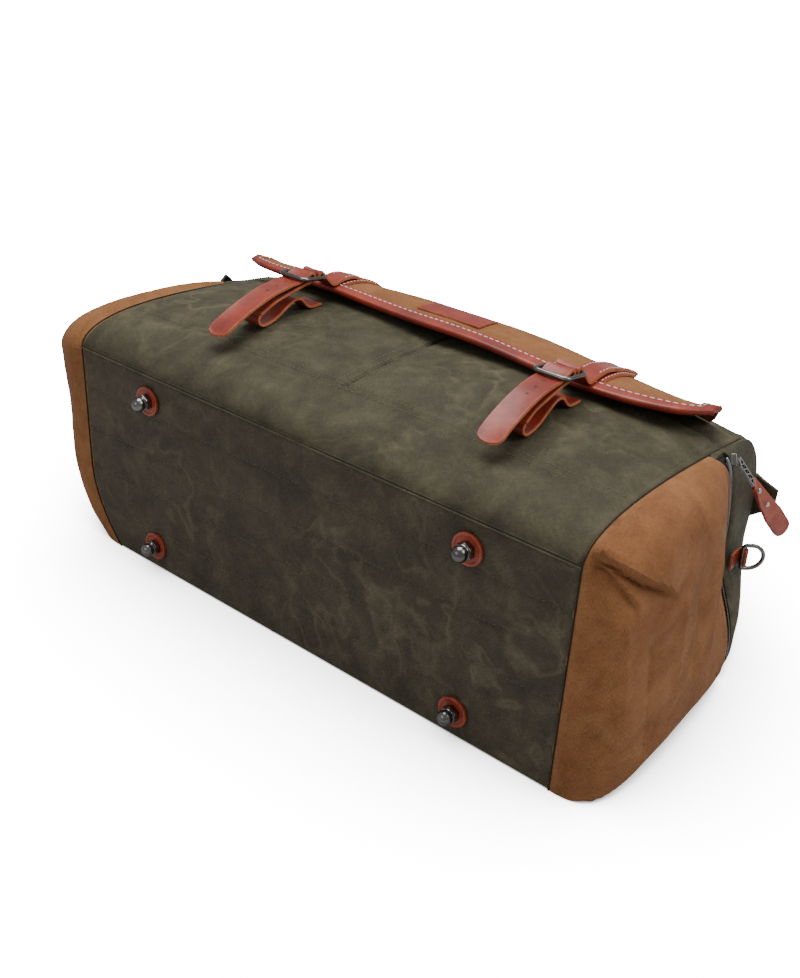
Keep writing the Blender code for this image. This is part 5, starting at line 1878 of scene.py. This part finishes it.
def make_handle(name, z, half, way, fall, tab_body):
    """A carry handle with its ends, from where its tabs are sewn and the way it lies."""
    for side_name, side in SIDES:
        x = side * half
        hook = (top_height(x, z) + HOOK_R + TAB_SEAT, z)
        make_handle_end(name, side_name, x, hook, way, fall, tab_body)
    begin = 2 * RING_R + RING_WIRE + GAP + HANDLE_R * 0.6
    bow = half * HANDLE_ROUND
    points = [(half, lerp(begin, HANDLE_DROP - bow, k / 8)) for k in range(8)]
    for k in range(19):
        turn = math.radians(5 * k)
        points.append((half * math.cos(turn), HANDLE_DROP - bow + bow * math.sin(turn)))
    points += [(-px, d) for px, d in reversed(points[:-1])]
    line = [at(px, *way(*hook, d)) for px, d in points]
    roll = wire(f"{name}_roll", curve_through(line, 2), HANDLE_R, False, 8)
    wear(dress(roll, RED_LEATHER), name, "leather", name)


# End rings, zip end tabs and end sliders
D_RING_H = 0.250
D_RING_Z = 0.072
D_RING_W = 0.022
D_RING_WIRE = 0.0018
D_RING_TILT = 40.0
EAR_LEN = 0.020
EAR_H = 0.026
EAR_T = 0.0030
EAR_SHIFT = 0.008
EAR_EDGE = 0.0007
SLIDER_LIFT = 0.0010
PULL_FALL = (0.028, 0.078, -0.105)
PULL_TWIST = 47.0


def end_reach(h, half):
    """How far out an end reaches under a piece of this half width at the shoulder strap's ring."""
    return max(end_out(h, D_RING_Z + k * half) for k in (-1.0, -0.5, 0.0, 0.5, 1.0))


def make_end_ring(name, side):
    around = D_RING_WIRE + GAP + TAB_T / 2
    half = D_RING_W / 2 - 2 * D_RING_WIRE
    hook = (end_reach(D_RING_H, D_RING_W / 2) + around + TAB_SEAT, D_RING_H)
    sewn = [(end_reach(h, half) + TAB_SEAT + 0.0004, h) for h in (D_RING_H - 0.0135, D_RING_H - 0.007)]
    path = on_path(sewn + ring_points(hook, around, (180, 135, 90, 45, 0, -40)), 6)
    last = len(path) - 1

    def place(u, v):
        x, h = path[round(v * last)]
        return at(side * x, h, D_RING_Z + (u * 2 - 1) * half)

    tab = cloth(f"{name}_ring_leather", 8, last, place, (2 * half, 0.03), (side, 0, 0))
    cut_leather(tab, TAB_T, 0.0)
    round_edges(tab, LEATHER_EDGE)
    wear(tab, "bag", "leather", f"{name}_ring_tab")
    centre = at(side * hook[0], hook[1], D_RING_Z)
    tilt = math.radians(D_RING_TILT)
    out = Vector((side * math.cos(tilt), math.sin(tilt), 0.0))
    wide = D_RING_W / 2
    shape = [(-wide * 0.85, 0.0), (wide * 0.85, 0.0), (wide, 0.0015)]
    shape += ring_points((0.0, 0.006), wide, range(0, 181, 10)) + [(-wide, 0.0015)]
    points = [centre + Vector((0, 0, 1)) * a + out * b for a, b in shape]
    loop = wire(f"{name}_d_ring_wire", points, D_RING_WIRE, True)
    wear(dress(loop, DARK_METAL), f"{name}_d_ring", "metal", f"{name}_d_ring")


def make_ear(name, side):
    """The folded canvas tab at an end of the main zip."""
    near = HALF + 0.0005
    far = near + EAR_LEN
    base = RIDGE_H + GAP + EAR_T

    def place(u, v):
        a = Vector((near, -EAR_H)).lerp(Vector((near, EAR_H * 0.6)), v)
        b = Vector((far, -EAR_H * 0.4)).lerp(Vector((far, EAR_H * 0.25)), v)
        x, dz = a.lerp(b, u)
        return at(side * x, base + 0.0005 * (math.sin(u * 4.0 + v * 3.0) - 1.0), RIDGE_Z + EAR_SHIFT + dz)

    ear = cloth(f"{name}_zip_end_canvas", 24, 36, place, (EAR_LEN, 0.03), (0, 1, 0))
    line = [place(0.84, 0.08 + 0.84 * k / 20) for k in range(21)]
    rows = sew(f"{name}_zip_end_stitches", ear, [line], EAR_STITCH)
    thicken(ear, EAR_T)
    round_edges(ear, EAR_EDGE)
    wear(dress(ear, OLIVE), "bag", "green_canvas", f"{name}_zip_end_tab")
    wear(dress(rows, OLIVE_THREAD), "bag", "green_canvas")


def make_end_slider(name, side):
    middle, axis = arch_frame(side)[:2]
    seat = arch_place(side, ARCH_END, ARCH_R, SLIDER_LIFT + SLIDER_T / 2)
    tangent = side * (seat - middle).cross(axis)
    slider = make_slider(f"{name}_slider_body")
    put(slider, turn_to(seat, tangent, axis))
    wear(dress(slider, DARK_METAL), f"{name}_slider", "metal", f"{name}_zip_slider")
    bail = seat + axis * (SLIDER_T / 2 + GAP + PULL_T / 2 + 0.0004)
    fall = Vector((side * PULL_FALL[0], PULL_FALL[1], PULL_FALL[2]))
    make_pull(name, turn_to(bail, fall, axis), f"{name}_pull", f"{name}_zip_pull", f"{name}_pull_leather",
              side * PULL_TWIST)


# Camera, light and floor
CAMERA_PLACE = (0.53295, -0.65967, 0.61031)
CAMERA_AZIMUTH = math.radians(39.20)
CAMERA_ELEVATION = math.radians(32.04)
CAMERA_ROLL = math.radians(0.53)
CAMERA_LENS = 42.6
FLOOR_GLOW = 26.0
SKY_LIGHT = 0.42

# Area lights: place, what they point at, size and power
LIGHTS = (
    ("key", (-0.35, 0.45, 2.1), (0.0, 0.0, 0.1), (1.5, 1.5), 46.0),
    ("side", (1.6, 0.5, 1.8), (0.1, 0.0, 0.15), (1.0, 1.0), 17.0),
    ("front", (-0.5, -1.9, 1.3), (0.0, 0.0, 0.1), (1.4, 1.0), 5.0),
)


def make_camera():
    level = math.cos(CAMERA_ELEVATION)
    back = Vector((math.sin(CAMERA_AZIMUTH) * level, -math.cos(CAMERA_AZIMUTH) * level,
                   math.sin(CAMERA_ELEVATION)))
    right = Vector((math.cos(CAMERA_AZIMUTH), math.sin(CAMERA_AZIMUTH), 0.0))
    up = back.cross(right)
    turned_right = math.cos(CAMERA_ROLL) * right + math.sin(CAMERA_ROLL) * up
    turned_up = -math.sin(CAMERA_ROLL) * right + math.cos(CAMERA_ROLL) * up
    data = bpy.data.cameras.new("camera")
    data.lens = CAMERA_LENS
    data.sensor_width = 36.0
    camera = bpy.data.objects.new("camera", data)
    bpy.context.collection.objects.link(camera)
    turn = Matrix((turned_right, turned_up, back)).transposed().to_4x4()
    camera.matrix_world = Matrix.Translation(CAMERA_PLACE) @ turn
    bpy.context.scene.camera = camera


def make_floor():
    """A pale floor that glows white to the camera, with a painted contact shadow where the bag stands close
    over it.
    """
    floor = basic(bpy.ops.mesh.primitive_plane_add, "floor", size=40.0)
    made, tree, shader = new_material("pale_floor", Roughness=0.7, Emission_Color=(1.0, 1.0, 1.0, 1.0))
    seen = add(tree, "ShaderNodeLightPath")
    # Ambient occlusion dims the floor's glow near the bag: a painted contact shadow
    near = add(tree, "ShaderNodeAmbientOcclusion", Distance=0.30)
    painted_shadow_factor = maths(tree, "POWER", near.outputs["AO"], 3.2)
    bright = maths(tree, "MULTIPLY", seen.outputs["Is Camera Ray"], FLOOR_GLOW)
    tree.links.new(maths(tree, "MULTIPLY", bright, painted_shadow_factor), shader.inputs["Emission Strength"])
    coords = add(tree, "ShaderNodeTexCoord")
    cloud = add(tree, "ShaderNodeTexNoise", Scale=2.0, Detail=2.0)
    tree.links.new(coords.outputs["Object"], cloud.inputs["Vector"])
    tint = blend_colours(tree, cloud.outputs[0], (0.52, 0.52, 0.52), (0.56, 0.56, 0.56))
    tree.links.new(tint, shader.inputs["Base Color"])
    dress(floor, made)


def make_sky():
    """A white surround, as bright to the camera as the floor."""
    world = bpy.data.worlds.new("studio")
    world.use_nodes = True
    tree = world.node_tree
    sky = tree.nodes["Background"]
    sky.inputs["Color"].default_value = (1.0, 1.0, 1.0, 1.0)
    seen = add(tree, "ShaderNodeLightPath")
    bright = maths(tree, "MULTIPLY", seen.outputs["Is Camera Ray"], FLOOR_GLOW)
    tree.links.new(maths(tree, "ADD", bright, SKY_LIGHT), sky.inputs["Strength"])
    bpy.context.scene.world = world


def make_lights():
    for name, place, target, size, power in LIGHTS:
        lamp = bpy.data.lights.new(name, "AREA")
        lamp.shape = "RECTANGLE"
        lamp.size, lamp.size_y = size
        lamp.energy = power
        light = bpy.data.objects.new(name, lamp)
        bpy.context.collection.objects.link(light)
        light.location = place
        light.rotation_euler = (Vector(target) - Vector(place)).to_track_quat("-Z", "Y").to_euler()


make_camera()
make_floor()
make_sky()
make_lights()
make_base()
make_feet()
make_panels()
make_lip_fold()
make_side_folds()
make_seams()
for SIDE_NAME, SIDE in SIDES:
    make_end_pocket(SIDE_NAME, SIDE)
    make_end_zip(SIDE_NAME, SIDE)
    make_end_gusset(SIDE_NAME, SIDE)
make_pockets()
make_flap()
make_closures()
make_main_zip()
make_handle("front_handle", FRONT_TAB_Z, FRONT_HANDLE_HALF, hang_down, -1, "front_lip")
make_handle("back_handle", BACK_TAB_Z, BACK_HANDLE_HALF, lie_out, 1, "bag")
for SIDE_NAME, SIDE in SIDES:
    make_end_ring(SIDE_NAME, SIDE)
    make_ear(SIDE_NAME, SIDE)
    make_end_slider(SIDE_NAME, SIDE)
